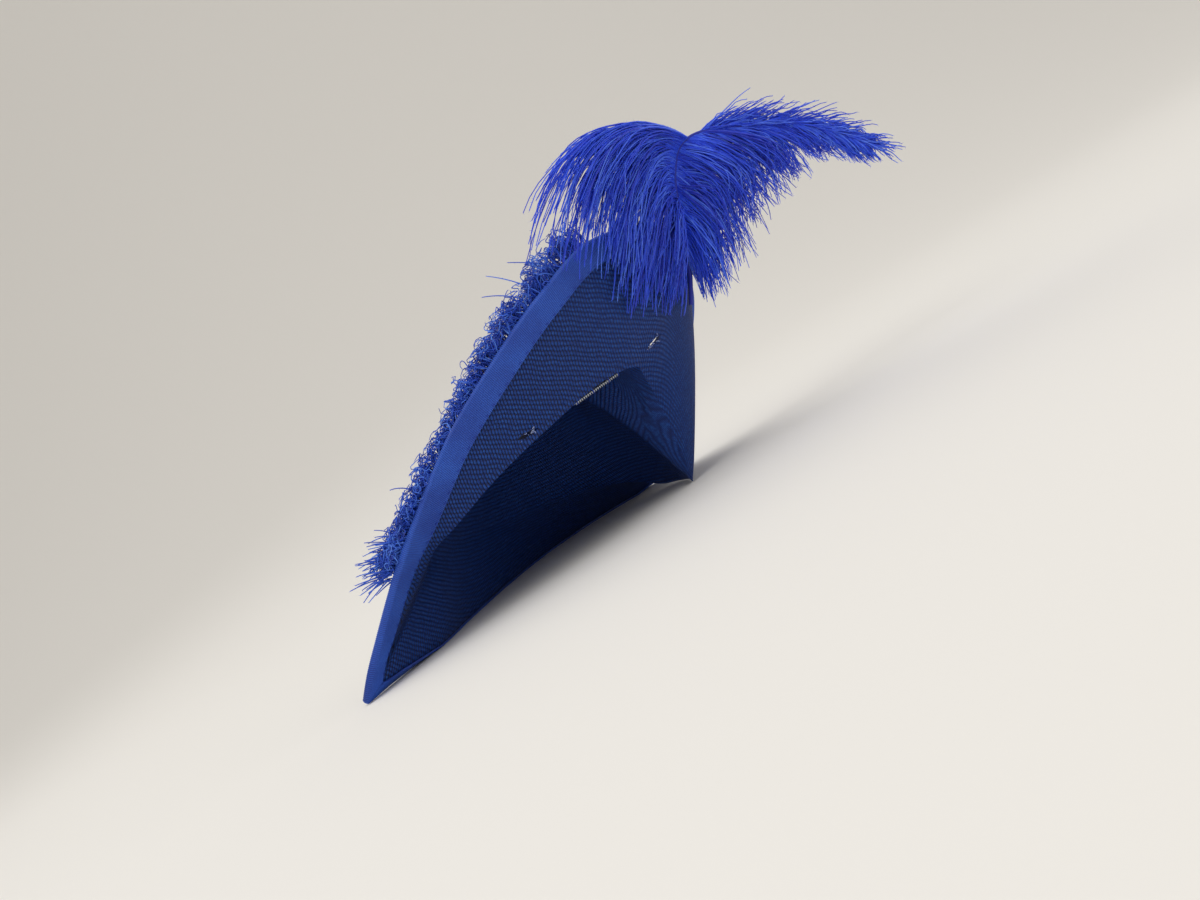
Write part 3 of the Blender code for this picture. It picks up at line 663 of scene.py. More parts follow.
def barb_material(name, dark, middle, light):
    """Dyed ostrich: soft barbs with a silky sheen, each a slightly different blue."""
    material, tree, shader, place = new_material(name)
    tone = add(tree, "ShaderNodeAttribute", attribute_name="tone", attribute_type="GEOMETRY")
    # Clumps of barbs about 6 mm across take the dye unevenly
    clump = add(tree, "ShaderNodeTexNoise", {"Vector": place, "Scale": 1 / 0.006, "Detail": 2.0})
    uneven = add(tree, "ShaderNodeMath", {0: clump, 1: 0.5, 2: -0.25}, operation="MULTIPLY_ADD")
    both = add(tree, "ShaderNodeMath", {0: tone.outputs["Fac"], 1: uneven}, operation="ADD")
    ramp = add(tree, "ShaderNodeValToRGB", {0: both})
    stops = ramp.color_ramp.elements
    stops[0].color, stops[1].color = dark, light
    stops.new(0.5).color = middle
    tree.links.new(ramp.outputs[0], shader.inputs["Base Color"])
    shader.inputs["Roughness"].default_value = 0.6
    shader.inputs["Sheen Weight"].default_value = 0.08
    shader.inputs["Sheen Roughness"].default_value = 0.5
    return material


def wire_material():
    """Plated steel wire: bright, with faint drawing marks that blur its shine."""
    material, tree, shader, place = new_material("Nickel-plated steel wire")
    marks = add(tree, "ShaderNodeTexNoise", {"Vector": place, "Scale": 1 / 0.0004, "Detail": 2.0})
    bump = add(tree, "ShaderNodeBump", {"Height": marks, "Strength": 0.2, "Distance": 0.00005})
    spread = add(tree, "ShaderNodeMapRange", {0: marks, 1: 0.3, 2: 0.7, 3: 0.18, 4: 0.34})
    tree.links.new(spread.outputs[0], shader.inputs["Roughness"])
    tree.links.new(bump.outputs[0], shader.inputs["Normal"])
    shader.inputs["Base Color"].default_value = sRGB("#C4C8CE")
    shader.inputs["Metallic"].default_value = 1.0
    return material


def thread_material(colour):
    """Twisted cotton thread: matt, with a fine twist."""
    material, tree, shader, place = new_material("Cotton thread")
    twist = add(tree, "ShaderNodeTexWave", {"Vector": place, "Scale": 1 / 0.0012, "Distortion": 1.0})
    bump = add(tree, "ShaderNodeBump", {"Height": twist.outputs[1], "Strength": 0.4, "Distance": 0.0001})
    tree.links.new(bump.outputs[0], shader.inputs["Normal"])
    shader.inputs["Base Color"].default_value = colour
    shader.inputs["Roughness"].default_value = 0.75
    return material


def fray_material():
    """Broken straw ends: glossy, with pale patches painted in as glints, nearly white to the eye."""
    material, tree, shader, place = new_material("Chipped straw")
    # Painted glints: pale patches scattered by noise over the broken ends
    glint_spots = add(tree, "ShaderNodeTexNoise", {"Vector": place, "Scale": 1 / 0.0009, "Detail": 1.0})
    ramp = add(tree, "ShaderNodeValToRGB", {0: glint_spots})
    stops = ramp.color_ramp.elements
    stops[0].position, stops[1].position = 0.38, 0.6
    stops[0].color, stops[1].color = sRGB("#1E3FA8"), sRGB("#B4C4EC")
    tree.links.new(ramp.outputs[0], shader.inputs["Base Color"])
    shader.inputs["Roughness"].default_value = 0.15
    return material


# Pieces


def weave_places(wall, grid, row_pitch, stitch_pitch):
    """Where each point lies in the weave: stitches along a row, and rows across them.

    On the turned-up side the rows run level as the hat is worn, and elsewhere round the crown.
    """
    near = np.append(wall.places, len(SECTIONS))
    middle = 1 + (wall.foot_ring - 1) // 2
    level, back = grid @ WORN_UP, grid @ WORN_BACK
    steps = np.linalg.norm(np.diff(grid, axis=0), axis=2)
    reach = np.concatenate([np.cumsum(steps[::-1], axis=0)[::-1], np.zeros((1, len(near)))])
    swell = np.linalg.norm(np.diff(grid[middle], axis=0), axis=1)
    around = np.concatenate([[0], np.cumsum(swell)])
    around *= round(around[-1] / stitch_pitch) * stitch_pitch / around[-1]
    turned_up = eased((near - 0.3) / 2.2) * (1 - eased((near - 8.0) / 4.0))
    ring = np.arange(len(grid))
    brim = 1 - eased((ring - wall.foot_ring) / 3)
    share = brim[:, None] * turned_up[None, :]
    meeting = int(9 * wall.steps)
    level = level - (level - reach)[middle, meeting]
    back = back - back[middle, 5 * wall.steps] + around[5 * wall.steps]
    along = share * back + (1 - share) * around[None, :]
    across = share * level + (1 - share) * reach
    return np.stack([along / stitch_pitch, across / row_pitch], axis=2)


def make_straw(look):
    """The straw: one woven shell, crown and brim, with its two slits."""
    wall = Wall(10, np.linspace(0, 1, 15)[1:-1], np.linspace(1, 0, 14)[1:-1], WALL)
    rings, columns = wall.rings.shape[:2]
    closed = np.concatenate([wall.rings, np.broadcast_to(wall.top, (1, columns, 3))])
    grid = np.concatenate([closed, closed[:, :1]], axis=1)
    weave = weave_places(wall, grid, look.row_pitch, look.stitch_pitch)
    layer = rings * columns + 1
    points = []
    for side in (1, -1):
        points.extend((wall.rings + side * STRAW / 2 * wall.up).reshape(-1, 3))
        points.append(wall.top + np.array([0, 0, side * STRAW / 2]))
    faces, corners = [], []

    def face(*spots):
        faces.append(
            [s * layer + (r * columns + c % columns if r < rings else layer - 1) for s, r, c in spots]
        )
        corners.extend(weave[r, c] for _, r, c in spots)

    for c in range(columns):
        for side in (0, 1):
            for r in range(rings - 1):
                face((side, r, c), (side, r, c + 1), (side, r + 1, c + 1), (side, r + 1, c))
            face((side, rings - 1, c), (side, rings - 1, c + 1), (side, rings, c))
        face((0, 0, c), (0, 0, c + 1), (1, 0, c + 1), (1, 0, c))
    straw = mesh_object("straw", points, faces, straw_material(look), corners)
    cutters = [cut_slit(straw, *slit) for slit in SLITS]
    settled(straw)
    for cutter in cutters:
        bpy.data.objects.remove(cutter)
    straw.data.set_sharp_from_angle(angle=math.radians(50))
    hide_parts("straw_body")
    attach(straw, "root")
    return straw


def slit_axes(place, share, turn):
    """The middle of a slit, and its run, its side and the wall's upward direction there."""
    point, up, along = WALL.at(place, 1 + share * (len(BRIM_RINGS) + 1))
    across = unit(np.cross(up, along))
    angle = math.radians(turn)
    side = unit(np.cross(up, along * math.cos(angle) + across * math.sin(angle)))
    return point, unit(np.cross(side, up)), side, up


def cut_slit(straw, place, share, turn):
    """Cuts one slit through the brim."""
    point, run, side, up = slit_axes(place, share, turn)
    points = [
        point + run * x * SLIT_LENGTH + side * y * SLIT_WIDTH / 2 + up * height
        for height in (-STRAW * 1.5, STRAW * 1.5)
        for x, y in SLIT_OUTLINE
    ]
    count = len(SLIT_OUTLINE)
    faces = [tuple(range(count)), tuple(range(2 * count - 1, count - 1, -1))]
    faces += [(i, (i + 1) % count, count + (i + 1) % count, count + i) for i in range(count)]
    cutter = mesh_object("slit", points, faces, straw.data.materials[0])
    cutter.hide_render = True
    cut = straw.modifiers.new("slit", "BOOLEAN")
    cut.operation = "DIFFERENCE"
    cut.solver = "EXACT"
    cut.object = cutter
    return cutter


def make_frays(look):
    """Broken, shiny straw ends at the two slits."""
    rng = np.random.default_rng(look.seed)
    lines, thick, tone = [], [], []
    for slit in SLITS:
        point, run, side, up = slit_axes(*slit)
        for k in range(look.count):
            along = run * rng.uniform(-0.42, 0.42) * SLIT_LENGTH
            start = point + along + side * rng.choice([-1, 1]) * SLIT_WIDTH * 0.4 - up * STRAW * 0.45
            way = run * rng.uniform(-1, 1) + side * rng.uniform(-1, 1) - up * rng.uniform(0.1, 0.6)
            end = start + unit(way) * look.length * rng.uniform(0.5, 1.0)
            bend = (start + end) / 2 + rng.normal(0, 0.0007, 3)
            lines.append(bezier(start, bend, end, np.linspace(0, 1, 5)))
            thick.append(np.array([0.6, 1.0, 1.0, 0.8, 0.3]) * look.thickness / 2)
            tone.append(rng.uniform(0, 1))
    frays = lines_object("slit_frays", lines, thick, tone)
    grown(frays, wires_group(), {"Sides": 5, "Material": fray_material()})
    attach(frays, "root")
    return frays


def rib_profile():
    """Half of the ribbon's section, out from the edge and up, round its fold."""
    inner = STRAW / 2 + GAP
    outer = inner + RIBBON * 0.75
    turn = np.radians(np.linspace(-90, 90, 9))
    fold = np.stack([(GAP + RIBBON * 0.75) * np.cos(turn), outer * np.sin(turn)], axis=1)
    far = [(-RIBBON_WIDTH, -outer), (-RIBBON_WIDTH / 2, -outer)]
    return np.array(far + list(fold) + [(x, -y) for x, y in reversed(far)]), inner


def make_ribbon(look):
    """The ribbon folded over the edge, with its woven ribs."""
    wall = Wall(10, lead=WALL)
    edge, out, up = wall.rings[0], wall.outward, wall.band_up
    columns = len(edge)
    profile, inner = rib_profile()
    inside = [(-RIBBON_WIDTH, inner), (GAP, inner), (GAP, -inner), (-RIBBON_WIDTH, -inner)]
    section = list(profile) + inside
    points = np.concatenate([edge + out * x + up * y for x, y in section])
    faces = []
    for k in range(len(section)):
        m = (k + 1) % len(section)
        for c in range(columns):
            d = (c + 1) % columns
            faces.append((k * columns + c, k * columns + d, m * columns + d, m * columns + c))
    material = ribbon_material("Rayon petersham", look.colour, look.light_colour)
    ribbon = mesh_object("ribbon", points, faces, material)
    ribbon.data.set_sharp_from_angle(angle=math.radians(50))
    # A rib: a low ridge across the ribbon on both of its sides
    slope = np.gradient(profile, axis=0)
    normal = unit(np.stack([slope[:, 1], -slope[:, 0]], axis=1))
    corners = []
    for x, lift in ((-0.5, -0.1), (0, 1), (0.5, -0.1)):
        for spot, way in zip(profile, normal):
            y, z = spot + way * lift * RIBBON * 0.25
            corners.append((x * look.rib_pitch * 0.6, y, z))
    count = len(profile)
    faces = []
    for row in range(2):
        for k in range(count - 1):
            a = row * count + k
            faces.append((a, a + 1, a + count + 1, a + count))
    # Painted highlight: the ribs are painted lighter than the ribbon, as light catches their ridges
    material = ribbon_material("Rayon petersham ribs", look.light_colour, look.rib_highlight_colour)
    rib = mesh_object("rib", corners, faces, material, shift=0)
    ribs = edge_loop("ribbon_ribs", wall)
    grown(ribs, along_edge_group(), {"Spacing": look.rib_pitch, "Item": rib, "Material": material})
    bpy.data.objects.remove(rib)
    for piece in (ribbon, ribs):
        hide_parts("edge_binding")
        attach(piece, "root")


def edge_loop(name, wall):
    """The hat's edge as one loop, with its outward and upward directions."""
    columns = len(wall.places)
    mesh = bpy.data.meshes.new(name)
    links = [(k, (k + 1) % columns) for k in range(columns)]
    mesh.from_pydata([tuple(p) for p in wall.rings[0] + HOME], links, [])
    for key, values in (("out", wall.outward), ("up", wall.band_up)):
        layer = mesh.attributes.new(key, "FLOAT_VECTOR", "POINT")
        layer.data.foreach_set("vector", values.ravel())
    return placed(name, mesh)


def make_stitches(look):
    """The stitches that hold the ribbon, near both of its borders."""
    wall = Wall(10, lead=WALL)
    height = STRAW / 2 + GAP + RIBBON
    points, faces = [], []
    for side in (1, -1):
        middle = np.array([0, -RIBBON_WIDTH + look.inset, side * height])
        base = len(points)
        for x, wide in ((-0.5, 0.0), (-0.3, 1.0), (0.3, 1.0), (0.5, 0.0)):
            for turn in range(4):
                angle = math.pi * (turn / 2 + 0.25)
                ring = np.array([0, math.cos(angle), math.sin(angle)]) * max(wide, 0.15) * look.thickness / 2
                points.append(middle + np.array([x * look.length, 0, 0]) + ring)
        for ring in range(3):
            for turn in range(4):
                a, b = base + ring * 4 + turn, base + ring * 4 + (turn + 1) % 4
                faces.append((a, b, b + 4, a + 4))
        faces += [(base, base + 1, base + 2, base + 3), (base + 15, base + 14, base + 13, base + 12)]
    thread = thread_material(look.colour)
    stitch = mesh_object("stitch", points, faces, thread, shift=0)
    stitches = edge_loop("ribbon_stitches", wall)
    grown(stitches, along_edge_group(), {"Spacing": look.spacing, "Item": stitch, "Material": thread})
    bpy.data.objects.remove(stitch)
    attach(stitches, "root")
    return stitches


def trim_barbs(look, rng):
    """The curled barbs of the trim, in clumps along the turned-up edge."""
    low = STRAW / 2 + GAP + RIBBON + 0.0012
    lines, thick, tone = [], [], []
    shares = np.linspace(0, 1, 13)
    clumps = look.count // TRIM_CLUMP
    for clump in range(clumps):
        place = TRIM_FROM + (TRIM_TO - TRIM_FROM) * (clump + rng.uniform(0, 1)) / clumps
        edge, out, up, run = WALL.edge_at(place)
        reach = np.interp(place, *zip(*TRIM_REACH))
        lean = rng.uniform(0.0, 1.0)
        clump_way = out * (1 - 0.75 * lean**2) + up * (0.1 + lean) + run * rng.normal(0, 0.45)
        shade = rng.uniform(0.15, 0.75)
        depth = rng.uniform(0, 0.009)
        for _ in range(TRIM_CLUMP):
            way = unit(clump_way + rng.normal(0, 0.28, 3))
            start = edge - out * (depth + rng.uniform(-0.002, 0.002)) + up * (low + rng.uniform(0, 0.004))
            start = start + run * rng.normal(0, 0.0022)
            length = (reach + depth) * rng.uniform(0.6, 1.12)
            curl = rng.uniform(0.0016, 0.0042)
            turns = rng.uniform(0.9, 2.6) * rng.choice([-1, 1])
            side = unit(np.cross(way, rng.normal(0, 1, 3)))
            other = np.cross(way, side)
            angle = 2 * math.pi * turns * shares
            swing = curl * shares**1.3
            offset = side * ((np.cos(angle) - 1) * swing)[:, None] + other * (np.sin(angle) * swing)[:, None]
            hook = -way * (length * 0.45 * shares**3)[:, None]
            lines.append(start + way * (length * shares)[:, None] + offset + hook)
            thick.append(look.thickness / 2 * (1 - 0.6 * shares))
            # A few barbs at random are painted brighter, as painted highlights on the curls
            tone.append(np.clip(shade + rng.normal(0, 0.15) + (0.3 if rng.random() < 0.08 else 0), 0, 1))
    return lines, thick, tone


def fringe_barbs(look, rng):
    """The straight, longer barbs at the low end of the trim and the few that stand off it."""
    lines, thick, tone = [], [], []
    shares = np.linspace(0, 1, 11)
    down = unit(-WORN_UP * 0.5 - WORN_BACK)
    spots = [
        (rng.uniform(2.75, 3.45), rng.uniform(0.010, 0.021), rng.normal(0, 0.22))
        for _ in range(look.fringe_count)
    ]
    for place, length, tilt in (*spots, *STRAY_BARBS):
        edge, out, up, run = WALL.edge_at(place)
        way = unit(down + WORN_UP * tilt + up * rng.uniform(-0.2, 0.4))
        start = edge + up * rng.uniform(0.002, 0.006) - out * rng.uniform(0, 0.003)
        end = start + way * length
        bend = (start + end) / 2 + WORN_UP * rng.uniform(0.0, 0.004) + rng.normal(0, 0.001, 3)
        lines.append(bezier(start, bend, end, shares))
        thick.append(look.thickness / 2 * (1 - 0.5 * shares))
        tone.append(rng.uniform(0.3, 0.8))
    return lines, thick, tone


def make_trim(look):
    """The curled ostrich trim inside the turned-up edge."""
    rng = np.random.default_rng(look.seed)
    lines, thick, tone = (a + b for a, b in zip(trim_barbs(look, rng), fringe_barbs(look, rng)))
    trim = lines_object("curled_barbs", lines, thick, tone)
    material = barb_material("Curled dyed ostrich", look.dark_colour, look.colour, look.light_colour)
    values = {
        "Barbule spacing": look.barbule_spacing,
        "Barbule length": look.barbule_length,
        "Seed": look.seed,
        "Material": material,
    }
    grown(trim, barbs_group(), values)
    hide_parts("curled_trim")
    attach(trim, "root")
    return trim


class PlumeAxes:
    """The plume's directions, where it is seated, and its shaft with the barbs behind it."""

    def __init__(self):
        self.across = np.array([math.cos(PLUME_LEAN), 0, -math.sin(PLUME_LEAN)])
        self.rise = np.array([math.sin(PLUME_LEAN), 0, math.cos(PLUME_LEAN)])
        self.deep = np.array([0.0, 1.0, 0.0])
        self.left = self.across * math.cos(PLUME_TURN) + self.deep * math.sin(PLUME_TURN)
        by_straw = STRAW / 2 + GAP + QUILL * math.sqrt(0.5)
        by_ribbon = by_straw + GAP + RIBBON + GAP
        self.seat = []
        for ring, stand in ((PLUME_FOOT_RING, by_straw), (1, by_ribbon), (0, by_ribbon)):
            point, up, _ = WALL.at(PLUME_AT, ring)
            self.seat.append(point - up * stand)
        self.foot = self.seat[-1] - self.rise * PLUME_EDGE * PLUME_RISE
        self.table = (np.array(PLUME_STATIONS) * (PLUME_REACH, PLUME_RISE)).reshape(-1, 6)

    def read(self, spot):
        """The shaft, then the bend and the end of the barb behind it."""
        row = through(self.table, [spot]).reshape(3, 2)
        return [self.foot + self.across * x + self.rise * y for x, y in row]


def wavy(line, axes, rng, size):
    """A barb's own small waves, growing towards its tip."""
    shares = np.linspace(0, 1, len(line))
    for axis in axes:
        turns = rng.uniform(0.6, 2.2)
        wave = np.sin(2 * math.pi * (turns * shares + rng.uniform(0, 1))) * shares
        line = line + axis * (wave * rng.uniform(0.3, 1) * size)[:, None]
    return line


def vane_barbs(plume, rng, spots, spread, thickness, stretch):
    """Barbs behind the shaft, over their bend to their end, in clumps."""
    lines, thick, tone = [], [], []
    shares = np.linspace(0, 1, BARB_POINTS)
    flat, sideways = plume.deep, plume.across
    for k, spot in enumerate(spots):
        if k % VANE_CLUMP == 0:
            clump = (rng.normal(0, 1, 3) * spread, rng.uniform(0.15, 0.75))
        start, bend, end = plume.read(spot)
        full = min(1.0, np.linalg.norm(end - start) / LONG_BARB)
        own = rng.normal(0, 1, 3) * spread * 0.45
        shift = (sideways * (clump[0][0] + own[0]) + plume.rise * (clump[0][1] + own[1])) * full
        depth = flat * (clump[0][2] + own[2]) * full
        bend = bend + ((start + end) / 2 - bend) * rng.uniform(0.1, 0.95)
        end = start + (end + shift + depth - start) * rng.uniform(*stretch)
        bend = bend + shift * 0.5 + depth * 1.2 + rng.normal(0, 0.0015, 3)
        line = bezier(start, bend, end, shares)
        lines.append(wavy(line, (flat, plume.rise), rng, 0.0022 * full))
        thick.append(thickness / 2 * (1 - 0.62 * shares))
        tone.append(np.clip(clump[1] + rng.normal(0, 0.16), 0, 1))
    return lines, thick, tone


def left_barbs(plume, rng, look):
    """The left vane: barbs that rise from the shaft, fall forward and hang in front of the hat."""
    graph = bpy.context.evaluated_depsgraph_get()
    hat = [BVHTree.FromObject(bpy.data.objects[name], graph) for name in ("straw", "ribbon")]
    heights = [row[0][1] for row in PLUME_STATIONS[:SHAFT_ROWS]]
    table = np.array(LEFT_FALL)
    flat = np.cross(plume.rise, plume.left)
    shares = np.linspace(0, 1, BARB_POINTS)
    lines, thick, tone = [], [], []
    for k, spot in enumerate(np.sort(rng.uniform(0, len(table) - 1, look.left_count))):
        if k % LEFT_CLUMP == 0:
            clump = (rng.normal(0, 1, 3) * look.spread, rng.uniform(0.1, 0.8), rng.uniform(0.78, 1.04))
        up_shaft, *rest = through(table, [spot])[0]
        up_shaft = min(SHAFT_TOP, up_shaft + rng.uniform(-0.12, 0.03))
        start = plume.read(np.interp(up_shaft, heights, range(SHAFT_ROWS)))[0]
        bend, end = (
            plume.foot + plume.left * x * PLUME_REACH + plume.rise * y * PLUME_RISE
            for x, y in (rest[:2], rest[2:])
        )
        own = rng.normal(0, 1, 3) * look.spread * 0.5
        full = min(1.0, np.linalg.norm(end - start) / LONG_BARB)
        shift = plume.left * (clump[0][0] + own[0]) + plume.rise * (clump[0][1] + own[1]) * 0.6
        depth = flat * (clump[0][2] + own[2])
        bend = bend + (shift * 0.6 + depth) * full
        end = end + (shift + depth) * full
        far = min(1.08, clump[2] * rng.uniform(0.8, 1.1))
        line = bezier(start, bend, end, shares * far)
        line = wavy(line, (flat, plume.left), rng, 0.0026 * full)
        # Where a barb would cut the hat it lies on it instead
        for point in line[1:]:
            x, _, z = point + HOME
            hits = [tree.ray_cast((x, -1.0, z), (0, 1, 0))[0] for tree in hat]
            front = min([hit.y for hit in hits if hit] + [1.0]) - HOME[1] - BARB_CLEAR
            point[1] = min(point[1], front)
        lines.append(line)
        thick.append(look.barb_thickness / 2 * (1 - 0.55 * shares))
        tone.append(np.clip(clump[1] + rng.normal(0, 0.18), 0, 1))
    return lines, thick, tone


def tail_barbs(plume, rng, count, thickness):
    """The short barbs above the shaft, which lean along it to its tip."""
    lines, thick, tone = [], [], []
    shares = np.linspace(0, 1, 9)
    last = len(PLUME_STATIONS) - 1
    for spot in rng.uniform(TAIL_FROM, last, count):
        here = plume.read(spot)[0]
        ahead = unit(plume.read(min(last, spot + 0.4))[0] - plume.read(min(spot, last - 0.4))[0])
        above = unit(np.cross(plume.deep, ahead))
        above = above if above @ plume.rise > 0 else -above
        length = rng.uniform(0.012, 0.034) * (1 - 0.35 * (spot - TAIL_FROM) / (last - TAIL_FROM))
        lift = rng.uniform(-0.12, 0.56)
        way = unit(ahead + above * lift + plume.deep * rng.normal(0, 0.16))
        end = here + way * length
        bend = (here + end) / 2 + above * rng.uniform(0.0, 0.004)
        lines.append(wavy(bezier(here, bend, end, shares), (plume.deep, above), rng, 0.0012))
        thick.append(thickness / 2 * (1 - 0.62 * shares))
        tone.append(rng.uniform(0.2, 0.9))
    return lines, thick, tone


def make_plume(look):
    """The ostrich plume: its shaft, its two vanes and its tail."""
    plume = PlumeAxes()
    rng = np.random.default_rng(look.seed)
    last = len(PLUME_STATIONS) - 1
    size = look.barb_thickness
    right = np.sort(rng.uniform(0.0, 6.8, look.right_count))
    under = np.sort(rng.uniform(6.5, last, look.tail_count))
    groups = {
        "plume_left_vane": [left_barbs(plume, rng, look)],
        "plume_right_vane": [vane_barbs(plume, rng, right, look.spread * 0.75, size, (0.5, 0.95))],
        "plume_tail": [
            vane_barbs(plume, rng, under, look.spread * 0.4, size, (0.45, 0.92)),
            tail_barbs(plume, rng, look.tail_count, size),
        ],
    }
    material = barb_material("Dyed ostrich", look.dark_colour, look.colour, look.light_colour)
    group = barbs_group()
    values = {
        "Barbule spacing": look.barbule_spacing,
        "Barbule length": look.barbule_length,
        "Material": material,
    }
    for which, (name, parts) in enumerate(groups.items()):
        lines, thick, tone = (sum(part, []) for part in zip(*parts))
        piece = lines_object(name, lines, thick, tone)
        grown(piece, group, {**values, "Seed": look.seed + which})
        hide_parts("plume")
        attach(piece, "root")
    line = np.array(plume.seat + [plume.read(s)[0] for s in np.linspace(0, last, 41)])
    taper = 1 - QUILL_TAPER * np.linspace(0, 1, len(line))
    shaft = lines_object("plume_shaft", [line], [QUILL / 2 * taper], [0.0])
    shade = barb_material("Dyed quill", look.quill_colour, look.quill_colour, look.colour)
    grown(shaft, wires_group(), {"Sides": 8, "Material": shade})
    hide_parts("plume")
    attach(shaft, "root")


def make_comb(look):
    """The wire comb: looped teeth on a bar wound with wire, and the thread that holds it."""
    point, up, along = WALL.at(COMB_AT, len(BRIM_RINGS) + 2 + COMB_RING)
    inward = WALL.top - np.array([0, 0, CROWN_HEIGHT / 3]) - point
    along = unit(along - up * (along @ up))
    inward = unit(np.cross(along, up)) * np.sign(np.cross(along, up) @ inward)
    back = point - up * (STRAW / 2 + GAP + COMB_WIRE / 2 + COMB_SAG)
    half = look.pitch * 0.22
    path = []
    for k in range(look.teeth):
        middle = back + along * (k - (look.teeth - 1) / 2) * look.pitch
        leg = [(inward * share - up * drop) * TOOTH_LENGTH for share, drop in TOOTH]
        path += [middle - along * half + p for p in leg]
        path.append(middle + leg[-1] + (leg[-1] - leg[-2]) * 0.25)
        path += [middle + along * half + p for p in reversed(leg)]
    path = np.array(path)
    teeth_radius = np.full(len(path), look.wire / 2)
    turns = int(look.teeth * 2.5)
    angle = np.linspace(0, 2 * math.pi * turns, turns * 10)
    run = np.linspace(-0.5, 0.5, len(angle)) * look.pitch * (look.teeth - 0.4)
    ring = look.wire * 1.2
    coil = back + along * run[:, None]
    coil = coil + inward * (np.cos(angle) * ring)[:, None] + up * (np.sin(angle) * ring)[:, None]
    bar = np.array([back + along * s * look.pitch * (look.teeth / 2) for s in (-1, 1)])
    lines = [path, coil, bar]
    radii = [teeth_radius, np.full(len(coil), look.wire * 0.4), np.full(2, look.wire / 2)]
    comb = lines_object("comb", lines, radii, [0.5] * 3)
    grown(comb, wires_group(), {"Sides": 8, "Material": wire_material()})
    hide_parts("wire_comb")
    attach(comb, "root")
    ties = []
    for spot in (-0.45, -0.1, 0.25, 0.46):
        middle = back + along * spot * look.pitch * look.teeth
        turn = np.linspace(0, 2 * math.pi, 13)
        reach = COMB_WIRE / 2 + 0.0006
        tall = up * (np.sin(turn) * (COMB_SAG + reach) * 0.55)[:, None]
        loop = middle + up * COMB_SAG * 0.45 + tall + inward * (np.cos(turn) * reach * 1.4)[:, None]
        ties.append(loop + along * (np.sin(turn * 2) * 0.0004)[:, None])
    thread = lines_object("comb_thread", ties, [np.full(13, 0.0003)] * len(ties), [0.5] * len(ties))
    grown(thread, wires_group(), {"Sides": 6, "Material": thread_material(look.thread_colour)})
    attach(thread, "root")


def make_stage(look):
    """A pale seamless floor, soft lights and the camera at the photograph's angle."""
    scene = bpy.context.scene
    depth, radius, height, half = 0.8, 4.0, 7.0, 7.0
    rail = [(-half, 0.0), (depth, 0.0)]
    for angle in np.radians(np.linspace(2, 90, 40)):
        rail.append((depth + radius * math.sin(angle), radius * (1 - math.cos(angle))))
    rail.append((depth + radius, height))
    points = [(x, y, z) for y, z in rail for x in (-half, half)]
    faces = [(2 * k, 2 * k + 1, 2 * k + 3, 2 * k + 2) for k in range(len(rail) - 1)]
    material, tree, shader, place = new_material("Matt paper")
    grain = add(tree, "ShaderNodeTexNoise", {"Vector": place, "Scale": 1 / 0.004, "Detail": 2.0})
    bump = add(tree, "ShaderNodeBump", {"Height": grain, "Strength": 0.05, "Distance": 0.0005})
    tree.links.new(bump.outputs[0], shader.inputs["Normal"])
    shader.inputs["Base Color"].default_value = look.floor_colour
    shader.inputs["Roughness"].default_value = 0.9
    mesh = bpy.data.meshes.new("floor")
    mesh.from_pydata(points, [], faces)
    mesh.materials.append(material)
    mesh.shade_smooth()
    floor = placed("floor", mesh)
    world = bpy.data.worlds.new("pale room")
    world.use_nodes = True
    sky = world.node_tree.nodes["Background"]
    sky.inputs[0].default_value = look.room_colour
    sky.inputs[1].default_value = look.room_light
    scene.world = world
    scene.view_settings.view_transform = "Standard"
    middle = (np.array(CAD_BOX[0]) + np.array(CAD_BOX[1])) / 2
    lights = (
        ("key", (-0.35, -1.1, 1.35), 1.1, look.key_power),
        ("fill", (1.3, -0.9, 0.5), 1.4, look.key_power * 0.3),
        ("rim", (-0.9, 1.0, 1.1), 1.0, look.key_power * 0.4),
        ("backdrop", (0.0, -0.2, 3.0), 3.0, look.key_power * 4),
    )
    for name, offset, size, power in lights:
        lamp = bpy.data.lights.new(name, "AREA")
        lamp.size = size
        lamp.energy = power
        holder = placed(name, lamp)
        spot = middle + offset
        back = unit(np.array(offset) - ((0, 3.4, 0) if name == "backdrop" else 0))
        right = unit(np.cross((0, 0, 1), back))
        holder.matrix_world = Matrix.LocRotScale(spot, turned(right, np.cross(back, right), back), None)
    lens = bpy.data.cameras.new("camera")
    lens.sensor_width = 36.0
    lens.sensor_fit = "HORIZONTAL"
    lens.lens = look.focal_length
    camera = placed("camera", lens)
    roll, fall = look.camera_roll, look.camera_fall
    axis_x = np.array([math.cos(roll), -math.sin(roll), 0])
    axis_z = np.array([-math.sin(roll) * math.cos(fall), -math.cos(roll) * math.cos(fall), -math.sin(fall)])
    axis_y = np.cross(axis_z, axis_x)
    axis_y = axis_y if axis_y[2] > 0 else -axis_y
    right, down, forward = np.stack([axis_x, axis_y, axis_z]).T
    spot = HOME + np.array(look.camera_from_point)
    camera.matrix_world = Matrix.LocRotScale(spot, turned(right, -down, -forward), None)
    camera.data.clip_start = 0.01
    scene.camera = camera


def turned(right, up, back):
    """The rotation whose local axes point these ways."""
    return Matrix([list(row) for row in np.stack([right, up, back], axis=1)]).to_quaternion()


# Settings, operators and the panel


def length(name, description, default):
    return bpy.props.FloatProperty(
        name=name, description=description, default=default, subtype="DISTANCE", unit="LENGTH", precision=5
    )


def colour(name, description, code):
    return bpy.props.FloatVectorProperty(
        name=name, description=description, default=sRGB(code), size=4, subtype="COLOR", min=0, max=1
    )


def number(name, description, default):
    return bpy.props.IntProperty(name=name, description=description, default=default, min=1)


